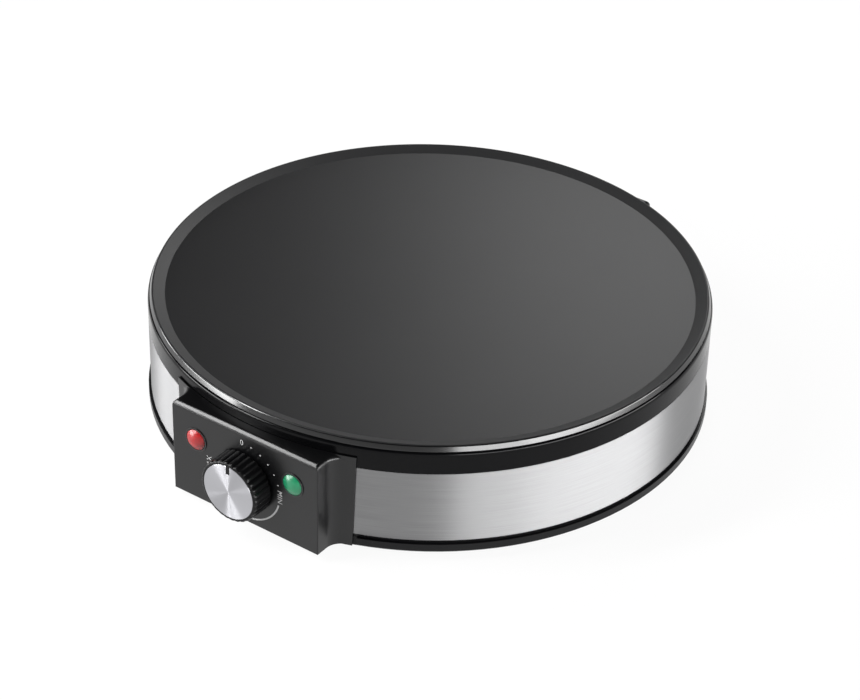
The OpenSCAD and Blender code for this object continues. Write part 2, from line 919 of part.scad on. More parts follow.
// The small screws under the plate: four clamps, fuse clip and earth tag
module clamp_screws() {
    color("#b0b0b0") placed() {
        at_angles(clamp_angles, clamp_ring_r) translate([0, 0, z_strap - strap_t])
            pan_screw(small_screw_r, strap_t + clamp_bite, small_head_r, small_head_h);
        translate([fuse_x, fuse_y + clip_screw_dy, z_clip - clip_t])
            pan_screw(small_screw_r, clip_t + clip_bite, small_head_r, small_head_h);
        translate([earth_x, earth_y, z_tag - tag_t])
            pan_screw(small_screw_r, tag_t + tag_bite, small_head_r, small_head_h);
    }
}

module thermal_fuse() {
    color("#d9c9a0") placed() translate([fuse_x, fuse_y, z_fuse]) rotate([0, 90, 0]) {
        cylinder(r = fuse_r, h = fuse_l, center = true);
        cylinder(r = fuse_lead_r, h = fuse_l + 2 * fuse_lead_l, center = true);
    }
}

module fuse_clip() {
    color("#b8b8b8") placed() difference() {
        translate([fuse_x - clip_w / 2, fuse_y - clip_screw_dy / 2, z_clip - clip_t])
            cube([clip_w, clip_l, clip_t]);
        translate([fuse_x, fuse_y + clip_screw_dy, z_clip - clip_t - join])
            cylinder(r = small_screw_r + hole_play, h = clip_t + 2 * join);
    }
}

// Ring terminal that bonds the plate to earth
module earth_tag() {
    tag_half_w = wire_r + tag_side;
    color("#d0c8a0") placed() translate([earth_x, earth_y, z_tag - tag_t]) difference() {
        union() {
            cylinder(r = tag_r, h = tag_t);
            translate([-tag_l, -tag_half_w, 0]) cube([tag_l, 2 * tag_half_w, tag_t]);
            translate([-tag_l, -tag_half_w, tag_t - join])
                cube([tag_l - tag_r - tag_t, 2 * tag_half_w, tag_crimp_h]);
        }
        translate([0, 0, -join]) cylinder(r = small_screw_r + hole_play, h = tag_t + 2 * join);
    }
}

// ---- Thermostat ----

module thermostat_body() {
    color("#d8cfbd") placed() difference() {
        union() {
            translate([-thermo_w / 2, thermo_front, z_knob - thermo_h / 2])
                cube([thermo_w, thermo_d, thermo_h]);
            translate([0, thermo_front + join, z_knob]) rotate([90, 0, 0])
                cylinder(r = bush_r, h = bush_l + join);
        }
        translate([0, thermo_front + shaft_in + pilot_spare, z_knob]) rotate([90, 0, 0])
            cylinder(r = shaft_r + fit_play, h = shaft_in + bush_l + 2 * pilot_spare);
        for (side = [-1, 1])
            translate([0, thermo_rear + join, z_knob + side * strap_screw_dz]) rotate([90, 0, 0])
            cylinder(r = small_screw_r + fit_play, h = strap_bite + pilot_spare + join);
    }
}

module thermostat_blades() {
    color("#c9b26a") placed() for (side = [-1, 1])
        translate([side * (thermo_w / 2 + blade_l / 2), thermo_mid, z_blade])
        cube([blade_l, blade_w, blade_t], center = true);
}

// Steel strap that hangs the thermostat from the plate and brings it the heat
module thermostat_bracket() {
    low = z_knob - thermo_h / 2 + pilot_spare;
    color("#b8b8b8") placed() difference() {
        union() {
            translate([-bracket_w / 2, thermo_rear, low])
                cube([bracket_w, bracket_t, z_tab - low]);
            translate([-bracket_w / 2, thermo_rear, z_tab - bracket_t])
                cube([bracket_w, tab_l, bracket_t]);
        }
        translate([0, tab_boss_y, z_tab - bracket_t - join])
            cylinder(r = small_screw_r + hole_play, h = bracket_t + 2 * join);
        for (side = [-1, 1])
            translate([0, thermo_rear - join, z_knob + side * strap_screw_dz]) rotate([-90, 0, 0])
            cylinder(r = small_screw_r + hole_play, h = bracket_t + 2 * join);
    }
}

module bracket_screws() {
    color("#b0b0b0") placed() {
        translate([0, tab_boss_y, z_tab - bracket_t])
            pan_screw(small_screw_r, bracket_t + tab_bite, small_head_r, small_head_h);
        for (side = [-1, 1])
            translate([0, thermo_rear + bracket_t, z_knob + side * strap_screw_dz])
            rotate([90, 0, 0])
            pan_screw(small_screw_r, bracket_t + strap_bite, small_head_r, small_head_h);
    }
}

// Outline of the shaft where it carries the knob, with its flat
module flat_round(r, flat) {
    intersection() {
        circle(r = r);
        translate([-r, -r]) square([2 * r, r + flat]);
    }
}

module thermostat_shaft() {
    tail = -(box_face + thermo_front + shaft_in);
    flat_from = knob_gap - part_play;
    color("#c0c0c0") placed() on_panel(0, z_knob) {
        translate([0, 0, tail]) cylinder(r = shaft_r, h = flat_from - tail);
        translate([0, 0, flat_from]) linear_extrude(shaft_tip - flat_from)
            flat_round(shaft_r, shaft_r - flat_in);
    }
}

// ---- Knob ----

module pointer_outline(w, l) {
    translate([-w / 2, cap_r - l + w / 2]) square([w, l - w / 2]);
    translate([0, cap_r - l + w / 2]) circle(r = w / 2, $fn = 32);
}

module knob_body() {
    front_r = knob_r - knob_taper;
    recess_r = cap_r + groove_play;
    hollow_top = cap_seat - knob_web;
    color("#161616") placed() on_panel(0, z_knob) {
        difference() {
            rotate_extrude($fn = round_fn) polygon([
                [0, knob_gap], [knob_r, knob_gap], [front_r, knob_front - 1],
                [front_r - 0.6, knob_front], [0, knob_front]
            ]);
            translate([0, 0, cap_seat]) cylinder(r = recess_r, h = knob_h);
            difference() {
                cylinder(r = knob_hollow_r, h = hollow_top);
                cylinder(r = hub_r, h = hollow_top + 1);
            }
            linear_extrude(hollow_top)
                flat_round(shaft_r + fit_play, shaft_r - flat_in + fit_play);
            for (a = ring_angles(flutes, 0)) rotate(a)
                translate([knob_r + flute_r - flute_d, 0, 0])
                cylinder(r = flute_r, h = knob_h, $fn = 32);
        }
        translate([0, 0, cap_seat - join]) linear_extrude(cap_t + join - groove_play)
            intersection() {
                pointer_outline(pointer_w, pointer_l);
                circle(r = recess_r + groove_play);
            }
    }
}

module knob_cap() {
    color("#d0d0d0") placed() on_panel(0, z_knob) difference() {
        rotate_extrude($fn = round_fn) polygon([
            [0, cap_seat], [cap_r, cap_seat], [cap_r, knob_h - 0.3],
            [cap_r - 0.3, knob_h], [0, knob_h]
        ]);
        translate([0, 0, cap_seat - join]) linear_extrude(cap_t + 2 * join)
            pointer_outline(pointer_w + 2 * groove_play, pointer_l + join);
    }
}

// ---- Lamps ----

module lamp_holders() {
    outer = lamp_r + holder_t;
    color("#121212") placed() lamp_places() difference() {
        union() {
            cylinder(r = lamp_r + holder_lip, h = thin);
            translate([0, 0, -holder_l]) cylinder(r = outer, h = holder_l + thin / 2);
            translate([0, 0, -wall - 2]) cylinder(r = outer + 1, h = 2);
        }
        translate([0, 0, -lens_in]) cylinder(r = lamp_r + fit_play, h = lens_in + 1);
        translate([0, 0, -holder_l + holder_back]) cylinder(r = lamp_r - 1, h = holder_l);
    }
}

// A domed lens in its holder
module lens() {
    ball_r = (pow(lamp_r, 2) + pow(dome_h, 2)) / (2 * dome_h);
    rotate_extrude() {
        translate([0, -lens_in]) square([lamp_r, lens_in + thin]);
        intersection() {
            translate([0, thin + dome_h - ball_r]) circle(r = ball_r, $fn = 180);
            translate([0, thin]) square([lamp_r, dome_h]);
        }
    }
}

module power_lens() {
    color("#d01818") placed() on_panel(-lamp_pitch / 2, z_knob + lamp_rise) lens();
}

module ready_lens() {
    color("#1fae74") placed() on_panel(lamp_pitch / 2, z_knob + lamp_rise) lens();
}

module neon_lamps() {
    color("#f0c8a0") placed() lamp_places()
        translate([0, 0, -holder_l + holder_back]) {
            cylinder(r = neon_r, h = neon_l - neon_r);
            translate([0, 0, neon_l - neon_r]) sphere(r = neon_r, $fn = 48);
        }
}

// ---- Wiring ----

function unit(v) = v / norm(v);

// A point of the smooth curve through the points p, in stretch i, at t from 0 to 1
function curve_point(p, i, t) =
    let (a = p[max(i - 1, 0)], b = p[i], c = p[i + 1], d = p[min(i + 2, len(p) - 1)])
    (2 * b + (c - a) * t + (2 * a - 5 * b + 4 * c - d) * t * t
        + (3 * b - a - 3 * c + d) * t * t * t) / 2;

function curve(p) = concat(
    [for (i = [0:len(p) - 2]) for (k = [0:wire_steps - 1]) curve_point(p, i, k / wire_steps)],
    [p[len(p) - 1]]
);

function heading(q, i) = unit(q[min(i + 1, len(q) - 1)] - q[max(i - 1, 0)]);

// Side directions along the curve, each turned as little as possible from the last
function sides_along(q, side, i = 0) = i == len(q) - 1 ? [side] :
    let (t = heading(q, i + 1))
    concat([side], sides_along(q, unit(side - t * (side * t)), i + 1));

// A round wire swept along the smooth curve through the given points
module wire(points, r) {
    q = curve(points);
    t0 = heading(q, 0);
    start = abs(t0[2]) < 0.9 ? [0, 0, 1] : [1, 0, 0];
    side = sides_along(q, unit(start - t0 * (start * t0)));
    n = wire_sides;
    last = len(q) - 1;
    ring = [for (i = [0:last]) for (j = [0:n - 1])
        let (a = 360 * j / n, u = side[i], v = cross(heading(q, i), u))
        q[i] + r * (cos(a) * u + sin(a) * v)];
    skin = [for (i = [0:last - 1]) for (j = [0:n - 1])
        let (a = i * n + j, b = i * n + (j + 1) % n)
        each [[a, a + n, b], [b, a + n, b + n]]];
    caps = [
        [for (j = [0:n - 1]) j],
        [for (j = [0:n - 1]) last * n + n - 1 - j]
    ];
    polyhedron(points = ring, faces = concat(skin, caps), convexity = 8);
}

// Push-on terminals on the thermostat's two blades
module push_on_terminals() {
    color("#d0d0c8") placed() for (side = [-1, 1]) mirror([side < 0 ? 1 : 0, 0, 0])
        difference() {
            translate([terminal_x - terminal_l, thermo_mid - terminal_w / 2, z_blade - terminal_h / 2])
                cube([terminal_l, terminal_w, terminal_h]);
            translate([
                thermo_w / 2, thermo_mid - blade_w / 2 - groove_play,
                z_blade - blade_t / 2 - groove_play
            ])
                cube([blade_l + groove_play, blade_w + 2 * groove_play, blade_t + 2 * groove_play]);
        }
}

module terminal_block() {
    color("#e6e2d8") placed() difference() {
        translate([-block_w / 2, block_y - block_d / 2, z_floor])
            cube([block_w, block_d, block_h]);
        for (k = [-1:1]) {
            translate([k * block_pitch, block_y - block_d / 2 - join, z_block_hole])
                rotate([-90, 0, 0]) cylinder(r = block_hole_r, h = block_d + 2 * join);
            translate([k * block_pitch, block_y, z_floor + block_h - block_screw_d])
                cylinder(r = block_screw_r, h = block_screw_d + join);
        }
    }
}

// The wires start inside the block's holes and run forward over the floor
function block_start(k) = [
    for (dy = [0.6, -1.2, -2.8])
    [k * block_pitch, block_y - block_d / 2 + dy * wire_end, z_block_hole]
];

// A point on the way over the floor, in shares of the post circle's radius
function on_floor(x, y, rise) = [x * post_ring_r, y * post_ring_r, z_wires + rise * wire_bow];

// End of a wire on a blade's terminal, on the side given by sign
function blade_end(side, y) = [
    for (k = [2, 1, 0]) [side * (terminal_x + k * wire_end), y, z_blade]
];

// End of a wire on a pin of the element, which it reaches from below
function pin_end(side) = [
    for (k = [1.6, 0.8, 0]) [side * leg_x, leg_y, z_pin - k * wire_end]
];

// The bow under a pin, before that end
function pin_bow(side) = [side * (leg_x - 2), leg_y + wire_bow, z_pin - 1.5 * wire_bow];

// End of a wire on a lead of the fuse, on the side given by sign
function fuse_end(side) = [
    for (k = [0.9, 0.4, 0])
    [fuse_x + side * (fuse_l / 2 + fuse_lead_l + k * wire_end), fuse_y, z_fuse]
];

// A point in a wire's hole through the heat shield, at a height over the shield
function shield_hole(x, y, rise) = [x, y, z_shield + rise * wire_bow];

function turned(p) = [for (i = [len(p) - 1:-1:0]) p[i]];

module live_wire() {
    color("#7a4a24") placed() wire(concat(
        block_start(-1),
        [on_floor(-0.37, 0.5, 0), on_floor(-0.52, 0, 0), on_floor(-0.43, -0.58, 0.2)],
        [[-terminal_x - 1.8 * wire_bow, main_wire_y + wire_bow, z_blade - 0.9 * wire_bow]],
        blade_end(-1, main_wire_y)
    ), wire_r);
}

module neutral_wire() {
    color("#2b5fa8") placed() wire(concat(
        block_start(1),
        [on_floor(0.25, 0.5, 0), on_floor(0.23, 0, 0), on_floor(0, -0.42, 0)],
        [pin_bow(-1)],
        pin_end(-1)
    ), wire_r);
}

module earth_wire() {
    z_end = z_tag - tag_t / 2 + tag_bead;
    color("#7fa83a") placed() wire(concat(
        block_start(0),
        [on_floor(-0.2, 0.42, 0.6), on_floor(-0.45, 0, 1.4)],
        [for (rise = [-1.2, 0]) shield_hole(earth_hole_x, earth_y, rise)],
        [for (k = [1, 0.5, 0]) [earth_x - tag_l - k * wire_end, earth_y, z_end]]
    ), wire_r);
}

module link_wire() {
    beside_post = post_ring_r / 2 - 2 * post_r;
    color("#e8e4dc") placed() wire(concat(
        turned(blade_end(1, main_wire_y)),
        [[beside_post, main_wire_y + 1.4 * wire_bow, z_blade - wire_bow]],
        [on_floor(0.5, -0.58, 1)],
        [for (rise = [-1.2, 0.2]) shield_hole(fuse_x + wire_hole_dx, fuse_y, rise)],
        fuse_end(1)
    ), wire_r);
}

module heater_wire() {
    color("#e8e4dc") placed() wire(concat(
        turned(fuse_end(-1)),
        [for (rise = [0.2, -1]) shield_hole(fuse_x - wire_hole_dx, fuse_y, rise)],
        [on_floor(0.1, -0.52, 1.2)],
        [pin_bow(1)],
        pin_end(1)
    ), wire_r);
}

// Leads from the backs of the two lamp holders to the blades' terminals
module lamp_leads() {
    back = -box_face + holder_l;
    z_lamp = z_knob + lamp_rise;
    color("#e8e4dc") placed() for (side = [-1, 1]) wire(concat(
        [for (k = [0, 0.8, 1.6]) [side * lamp_pitch / 2, back + k * wire_end, z_lamp]],
        [[side * (terminal_x + wire_bow), back + 3.4 * wire_end, z_lamp - 0.3 * wire_bow]],
        [for (k = [1.4, 0.7, 0]) [side * (terminal_x + k * wire_end), lead_y, z_blade]]
    ), lead_r);
}

// ---- Cord entry ----

module cord_gland() {
    color("#141414") placed() on_rear(0, z_cord) difference() {
        union() {
            cylinder(r = gland_flange_r, h = gland_flange_t);
            translate([0, 0, -wall]) cylinder(r = gland_r, h = wall + join);
            translate([0, 0, -gland_in]) cylinder(r = gland_catch_r, h = gland_in - wall);
        }
        translate([0, 0, -gland_in - join])
            cylinder(r = cord_r, h = gland_in + gland_flange_t + 2 * join);
    }
}

module cord_clamp() {
    color("#242424") placed() difference() {
        translate([-cradle_w / 2, cradle_y, z_cord]) cube([cradle_w, cradle_d, clamp_h]);
        translate([0, cradle_y - join, z_cord]) rotate([-90, 0, 0])
            cylinder(r = cord_r, h = cradle_d + 2 * join);
        for (side = [-1, 1])
            translate([side * clamp_screw_x, cradle_y + cradle_d / 2, z_cord - join])
            cylinder(r = small_screw_r + hole_play, h = clamp_h + 2 * join);
    }
}

module cord_clamp_screws() {
    color("#b0b0b0") placed() for (side = [-1, 1])
        translate([side * clamp_screw_x, cradle_y + cradle_d / 2, z_cord + clamp_h])
        rotate([180, 0, 0])
        pan_screw(small_screw_r, clamp_h + clamp_screw_bite, small_head_r, small_head_h);
}

cooking_plate();
upper_ring();
steel_band_left();
steel_band_right();
base_pan();
rubber_feet();
control_housing();
rear_housing();
housing_screws();
ring_screws();
plate_screws();
insulating_spacers();
heat_shield();
heating_element();
element_pins();
element_clamps();
clamp_screws();
thermal_fuse();
fuse_clip();
earth_tag();
thermostat_body();
thermostat_blades();
thermostat_bracket();
bracket_screws();
thermostat_shaft();
knob_body();
knob_cap();
lamp_holders();
neon_lamps();
power_lens();
ready_lens();
push_on_terminals();
terminal_block();
live_wire();
neutral_wire();
earth_wire();
link_wire();
heater_wire();
lamp_leads();
cord_gland();
cord_clamp();
cord_clamp_screws();
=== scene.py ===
import math

import bmesh
import bpy
from mathutils import Matrix, Vector


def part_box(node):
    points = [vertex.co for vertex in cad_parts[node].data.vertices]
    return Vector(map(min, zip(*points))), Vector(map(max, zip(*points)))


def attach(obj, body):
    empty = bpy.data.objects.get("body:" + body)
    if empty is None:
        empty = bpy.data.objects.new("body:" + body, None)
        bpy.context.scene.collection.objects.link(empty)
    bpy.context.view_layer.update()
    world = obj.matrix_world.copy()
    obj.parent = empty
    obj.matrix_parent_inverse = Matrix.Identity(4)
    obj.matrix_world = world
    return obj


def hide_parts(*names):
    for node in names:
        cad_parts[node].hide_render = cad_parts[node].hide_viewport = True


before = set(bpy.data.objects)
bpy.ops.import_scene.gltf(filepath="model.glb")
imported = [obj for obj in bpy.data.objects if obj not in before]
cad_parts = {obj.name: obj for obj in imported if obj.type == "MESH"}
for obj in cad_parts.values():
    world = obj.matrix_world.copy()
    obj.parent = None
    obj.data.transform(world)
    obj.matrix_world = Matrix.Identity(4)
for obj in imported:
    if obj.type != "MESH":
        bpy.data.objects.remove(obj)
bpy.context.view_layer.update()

# Camera
# It stands in front of the crepe maker, to the right, and looks down on the plate
# at the photograph's angle, with the photograph's slight roll.
mm = 0.001
view_azimuth = math.radians(35.07)
view_elevation = math.radians(34.11)
view_roll = math.radians(1.55)
view_distance = 1441 * mm
view_target = Vector((0.7 * mm, 5.4 * mm, 24.4 * mm))
toward_camera = Vector((
    math.sin(view_azimuth) * math.cos(view_elevation),
    -math.cos(view_azimuth) * math.cos(view_elevation),
    math.sin(view_elevation),
))
camera = bpy.data.objects.new("camera", bpy.data.cameras.new("camera"))
camera.data.sensor_fit = "HORIZONTAL"
camera.data.sensor_width = 36
camera.data.lens = 109.33
camera.matrix_world = (
    Matrix.Translation(view_target + view_distance * toward_camera)
    @ toward_camera.to_track_quat("Z", "Y").to_matrix().to_4x4()
    @ Matrix.Rotation(view_roll, 4, "Z")
)
bpy.context.scene.collection.objects.link(camera)
bpy.context.scene.camera = camera

# Base pan
# A shallow tray of black polypropylene, injection moulded in one shot. It carries
# everything else, so the whole drum is screwed to it from below.
flow_w = 28 * mm
weld = 0.001 * mm
pan_edge_r = 0.3 * mm


def linear(colour):
    """Turns an sRGB hex colour into linear red, green, blue and alpha."""
    shares = [int(colour[i:i + 2], 16) / 255 for i in (1, 3, 5)]
    curve = [s / 12.92 if s <= 0.04045 else ((s + 0.055) / 1.055) ** 2.4 for s in shares]
    return curve + [1]


def add(tree, kind, inputs=None, **settings):
    """Adds a shader node with its settings; an input takes a socket as a link or a value."""
    made = tree.nodes.new("ShaderNode" + kind)
    for name, value in settings.items():
        setattr(made, name, value)
    for name, value in (inputs or {}).items():
        if isinstance(value, bpy.types.NodeSocket):
            tree.links.new(value, made.inputs[name])
        else:
            made.inputs[name].default_value = value
    return made


def start_material(name):
    """Starts a material and gives it with its node tree and its Object coordinates."""
    material = bpy.data.materials.new(name)
    material.use_nodes = True
    tree = material.node_tree
    tree.nodes.clear()
    return material, tree, add(tree, "TexCoord").outputs["Object"]


def moulded_plastic(name, dark, pale, roughness, grain, ior=1.5, shine=0.5):
    """Moulded plastic: faint flow clouds in its colour, and the tool's fine grain in its gloss.

    A shine of 0.5 is the full reflection of its IOR, and less is a duller skin.
    """
    material, tree, place = start_material(name)
    flow = add(tree, "TexNoise", {"Vector": place, "Scale": 1 / flow_w, "Detail": 4})
    # The tool's real grain is too fine to show, so it is drawn coarser.
    skin = add(tree, "TexNoise", {"Vector": place, "Scale": 1 / grain, "Detail": 2})
    tone = add(tree, "Mix", {0: flow.outputs[0], 6: linear(dark), 7: linear(pale)},
               data_type="RGBA")
    gloss = add(tree, "MapRange", {
        "Value": skin.outputs[0], "To Min": roughness * 0.85, "To Max": roughness * 1.15,
    })
    bump = add(tree, "Bump", {
        "Height": skin.outputs[0], "Strength": 0.25, "Distance": 0.05 * grain,
    })
    shader = add(tree, "BsdfPrincipled", {
        "Base Color": tone.outputs[2], "Roughness": gloss.outputs[0],
        "Normal": bump.outputs[0], "IOR": ior, "Specular IOR Level": shine,
    })
    add(tree, "OutputMaterial", {"Surface": shader.outputs[0]})
    return material


def even_shading(piece):
    """Lets flat faces shade flat where a small rounded edge runs into them."""
    even = piece.modifiers.new("even_shading", "WEIGHTED_NORMAL")
    even.weight = 90
    even.keep_sharp = True


def finish_piece(name, bm, *materials, sharp=30):
    """Makes a bmesh a piece, smooth but for the edges that turn by more than sharp degrees."""
    bmesh.ops.remove_doubles(bm, verts=bm.verts, dist=weld)
    bmesh.ops.recalc_face_normals(bm, faces=bm.faces)
    mesh = bpy.data.meshes.new(name)
    bm.to_mesh(mesh)
    bm.free()
    for material in materials:
        mesh.materials.append(material)
    mesh.shade_smooth()
    mesh.set_sharp_from_angle(angle=math.radians(sharp))
    piece = bpy.data.objects.new(name, mesh)
    bpy.context.scene.collection.objects.link(piece)
    even_shading(piece)
    return piece


def round_edges(bm, radius, segments=2, turn=25, chosen=lambda edge: True):
    """Rounds the chosen edges that turn by more than turn degrees."""
    edges = [
        e for e in bm.edges
        if e.is_manifold and e.calc_face_angle() > math.radians(turn) and chosen(e)
    ]
    bmesh.ops.bevel(bm, geom=edges, offset=radius, segments=segments, profile=0.5,
                    affect="EDGES", material=-1, clamp_overlap=True)


def copy_of(node):
    """A copy of a CAD node's mesh, its doubles merged and its flat faces made whole."""
    bm = bmesh.new()
    bm.from_mesh(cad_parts[node].data)
    bmesh.ops.remove_doubles(bm, verts=bm.verts, dist=weld)
    bmesh.ops.dissolve_limit(bm, angle_limit=math.radians(1), verts=bm.verts, edges=bm.edges)
    return bm


satin_black = moulded_plastic("moulded_satin_polypropylene", "#08080a", "#0e0e0f", 0.34,
                              0.4 * mm, shine=0.2)
pan = copy_of("base_pan")
round_edges(pan, pan_edge_r)
base = finish_piece("base_tray", pan, satin_black)
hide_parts("base_pan")
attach(base, "base")

# Feet
# Four push-in feet of black rubber, compression moulded, which leaves them matt
# with a faint bloom.
foot_edge_r = 0.3 * mm
rubber = moulded_plastic("compression_moulded_rubber", "#161616", "#222221", 0.75,
                         0.3 * mm, ior=1.52)
soles = copy_of("rubber_feet")
round_edges(soles, foot_edge_r)
feet = finish_piece("feet", soles, rubber)
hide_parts("rubber_feet")
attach(feet, "base")

# Heater and wiring
# What the drum holds: the tubular element under the plate, its ceramic and sheet
# metal, the thermostat and the sleeved wires. It shows only through the floor vents.
def worked_metal(name, dark, pale, roughness, grain):
    """Bare metal as rolled or turned: the grain varies its colour and its gloss."""
    material, tree, place = start_material(name)
    cloud = add(tree, "TexNoise", {"Vector": place, "Scale": 1 / grain, "Detail": 5})
    tone = add(tree, "Mix", {0: cloud.outputs[0], 6: linear(dark), 7: linear(pale)},
               data_type="RGBA")
    gloss = add(tree, "MapRange", {
        "Value": cloud.outputs[0], "To Min": roughness + 0.1, "To Max": roughness - 0.05,
    })
    shader = add(tree, "BsdfPrincipled", {
        "Base Color": tone.outputs[2], "Roughness": gloss.outputs[0], "Metallic": 1,
    })
    add(tree, "OutputMaterial", {"Surface": shader.outputs[0]})
    return material


zinc = worked_metal("zinc_plated_steel", "#a9acae", "#cfd1cf", 0.3, 1.5 * mm)
sheet_steel = worked_metal("rolled_aluminised_steel", "#8f9294", "#b4b6b6", 0.35, 6 * mm)
tinned_brass = worked_metal("tinned_brass", "#a08a52", "#c9b26a", 0.3, 2 * mm)
turned_steel = worked_metal("turned_steel", "#9a9a9a", "#c4c4c4", 0.25, 1 * mm)
heated_steel = worked_metal("oxidised_stainless_tube", "#3d332b", "#6b5a4c", 0.5, 4 * mm)
# Ceramic, glass and woven sleeves take the moulded finish too, cloudy and finely grained.
ceramic = moulded_plastic("pressed_steatite", "#d9d1bf", "#e8e2d4", 0.6, 0.5 * mm)
nylon = moulded_plastic("natural_polyamide", "#ddd8cb", "#e9e5da", 0.45, 0.5 * mm)
black_nylon = moulded_plastic("black_polyamide", "#0f0f10", "#161617", 0.3, 0.4 * mm)
clear_glass = moulded_plastic("neon_bulb_glass", "#e8c9b0", "#f2dcc8", 0.08, 3 * mm)
sleeve = moulded_plastic("woven_glass_sleeve", "#cfc9bb", "#e4dfd2", 0.8, 0.6 * mm)
brown_cover = moulded_plastic("brown_wire_cover", "#5c3317", "#70401f", 0.45, 1 * mm)
blue_cover = moulded_plastic("blue_wire_cover", "#1f4f96", "#2a5fae", 0.45, 1 * mm)
green_cover = moulded_plastic("green_wire_cover", "#6f9a2a", "#86b23a", 0.45, 1 * mm)
finishes = {
    zinc: ["housing_screws", "ring_screws", "plate_screws", "clamp_screws", "bracket_screws",
           "cord_clamp_screws"],
    sheet_steel: ["heat_shield", "element_clamps", "fuse_clip", "thermostat_bracket"],
    tinned_brass: ["earth_tag", "thermostat_blades", "push_on_terminals"],
    turned_steel: ["element_pins", "thermostat_shaft"],
    heated_steel: ["heating_element"],
    ceramic: ["insulating_spacers", "thermostat_body", "thermal_fuse"],
    nylon: ["terminal_block"],
    black_nylon: ["cord_clamp"],
    clear_glass: ["neon_lamps"],
    sleeve: ["link_wire", "heater_wire", "lamp_leads"],
    brown_cover: ["live_wire"],
    blue_cover: ["neutral_wire"],
    green_cover: ["earth_wire"],
}
for finish, nodes in finishes.items():
    for node in nodes:
        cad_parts[node].material_slots[0].material = finish

# Steel band
# Two half bands of brushed stainless sheet, rolled to the drum's curve. The belt's
# long scratches run round the drum, so highlights stretch upright across them.
plate_low, plate_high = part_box("cooking_plate")
axis = Vector((0, (plate_low.y + plate_high.y) / 2, 0))
band_low, band_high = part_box("steel_band_right")
drum_r = band_high.x
plate_r = plate_high.x
band_t = 0.6 * mm
band_edge_r = 0.12 * mm
front_tuck = 51.2 * mm
rear_tuck = 44.9 * mm
scratch_l = 40 * mm
band_steps = 240


def turned_form(profile, steps, turn=2 * math.pi, closed=False):
    """Spins a profile of radii and heights round Z; closed joins its last point to its first."""
    bm = bmesh.new()
    corners = [bm.verts.new((r, 0, z)) for r, z in profile]
    ends = corners[1:] + corners[:1] if closed else corners[1:]
    lines = [bm.edges.new(pair) for pair in zip(corners, ends)]
    bmesh.ops.spin(bm, geom=corners + lines, cent=(0, 0, 0), axis=(0, 0, 1), angle=turn,
                   steps=steps, use_merge=turn == 2 * math.pi)
    bmesh.ops.remove_doubles(bm, verts=bm.verts, dist=weld)
    bmesh.ops.holes_fill(bm, edges=[e for e in bm.edges if e.is_boundary])
    bmesh.ops.recalc_face_normals(bm, faces=bm.faces)
    return bm


def on_drum(bm, start=0.0):
    """Turns a form to start at an angle from -Y towards +X, and centres it on the drum."""
    bmesh.ops.rotate(bm, verts=bm.verts, cent=(0, 0, 0),
                     matrix=Matrix.Rotation(start - math.pi / 2, 3, "Z"))
    bmesh.ops.translate(bm, verts=bm.verts, vec=axis)
    return bm


def brushed_steel(name, dark, pale, scratch_w, roughness):
    """Belt-brushed stainless: scratches of one length and width that run round the drum."""
    material, tree, place = start_material(name)
    centred = add(tree, "Mapping", {"Vector": place, "Location": -axis}).outputs[0]
    parts = add(tree, "SeparateXYZ", {0: centred})
    turned = add(tree, "Math", {0: parts.outputs[1], 1: parts.outputs[0]}, operation="ARCTAN2")
    # A scratch's real width is too fine to show, so it is drawn wider.
    along = add(tree, "Math", {0: turned.outputs[0], 1: drum_r / scratch_l},
                operation="MULTIPLY")
    across = add(tree, "Math", {0: parts.outputs[2], 1: 1 / scratch_w}, operation="MULTIPLY")
    lines = add(tree, "CombineXYZ", {0: along.outputs[0], 1: across.outputs[0]})
    streaks = add(tree, "TexNoise", {"Vector": lines.outputs[0], "Scale": 1, "Detail": 5,
                                     "Roughness": 0.65})
    tone = add(tree, "Mix", {0: streaks.outputs[0], 6: linear(dark), 7: linear(pale)},
               data_type="RGBA")
    gloss = add(tree, "MapRange", {
        "Value": streaks.outputs[0], "To Min": roughness * 1.2, "To Max": roughness * 0.8,
    })
    upright = add(tree, "CombineXYZ", {2: 1.0})
    shader = add(tree, "BsdfPrincipled", {
        "Base Color": tone.outputs[2], "Roughness": gloss.outputs[0], "Metallic": 1,
        "Anisotropic": 0.95, "Tangent": upright.outputs[0],
    })
    add(tree, "OutputMaterial", {"Surface": shader.outputs[0]})
    return material


steel = brushed_steel("belt_brushed_stainless", "#9a9a9b", "#b4b4b5", 0.35 * mm, 0.48)
band_section = [
    (drum_r - band_t, band_low.z), (drum_r, band_low.z),
    (drum_r, band_high.z), (drum_r - band_t, band_high.z),
]
front_end = math.asin(front_tuck / drum_r)
rear_end = math.pi - math.asin(rear_tuck / drum_r)
for side, start in (("right", front_end), ("left", -rear_end)):
    half = turned_form(band_section, band_steps, rear_end - front_end, closed=True)
    round_edges(on_drum(half, start), band_edge_r)
    band = finish_piece("steel_" + side, half, steel)
    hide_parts("steel_band_" + side)
    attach(band, "base")

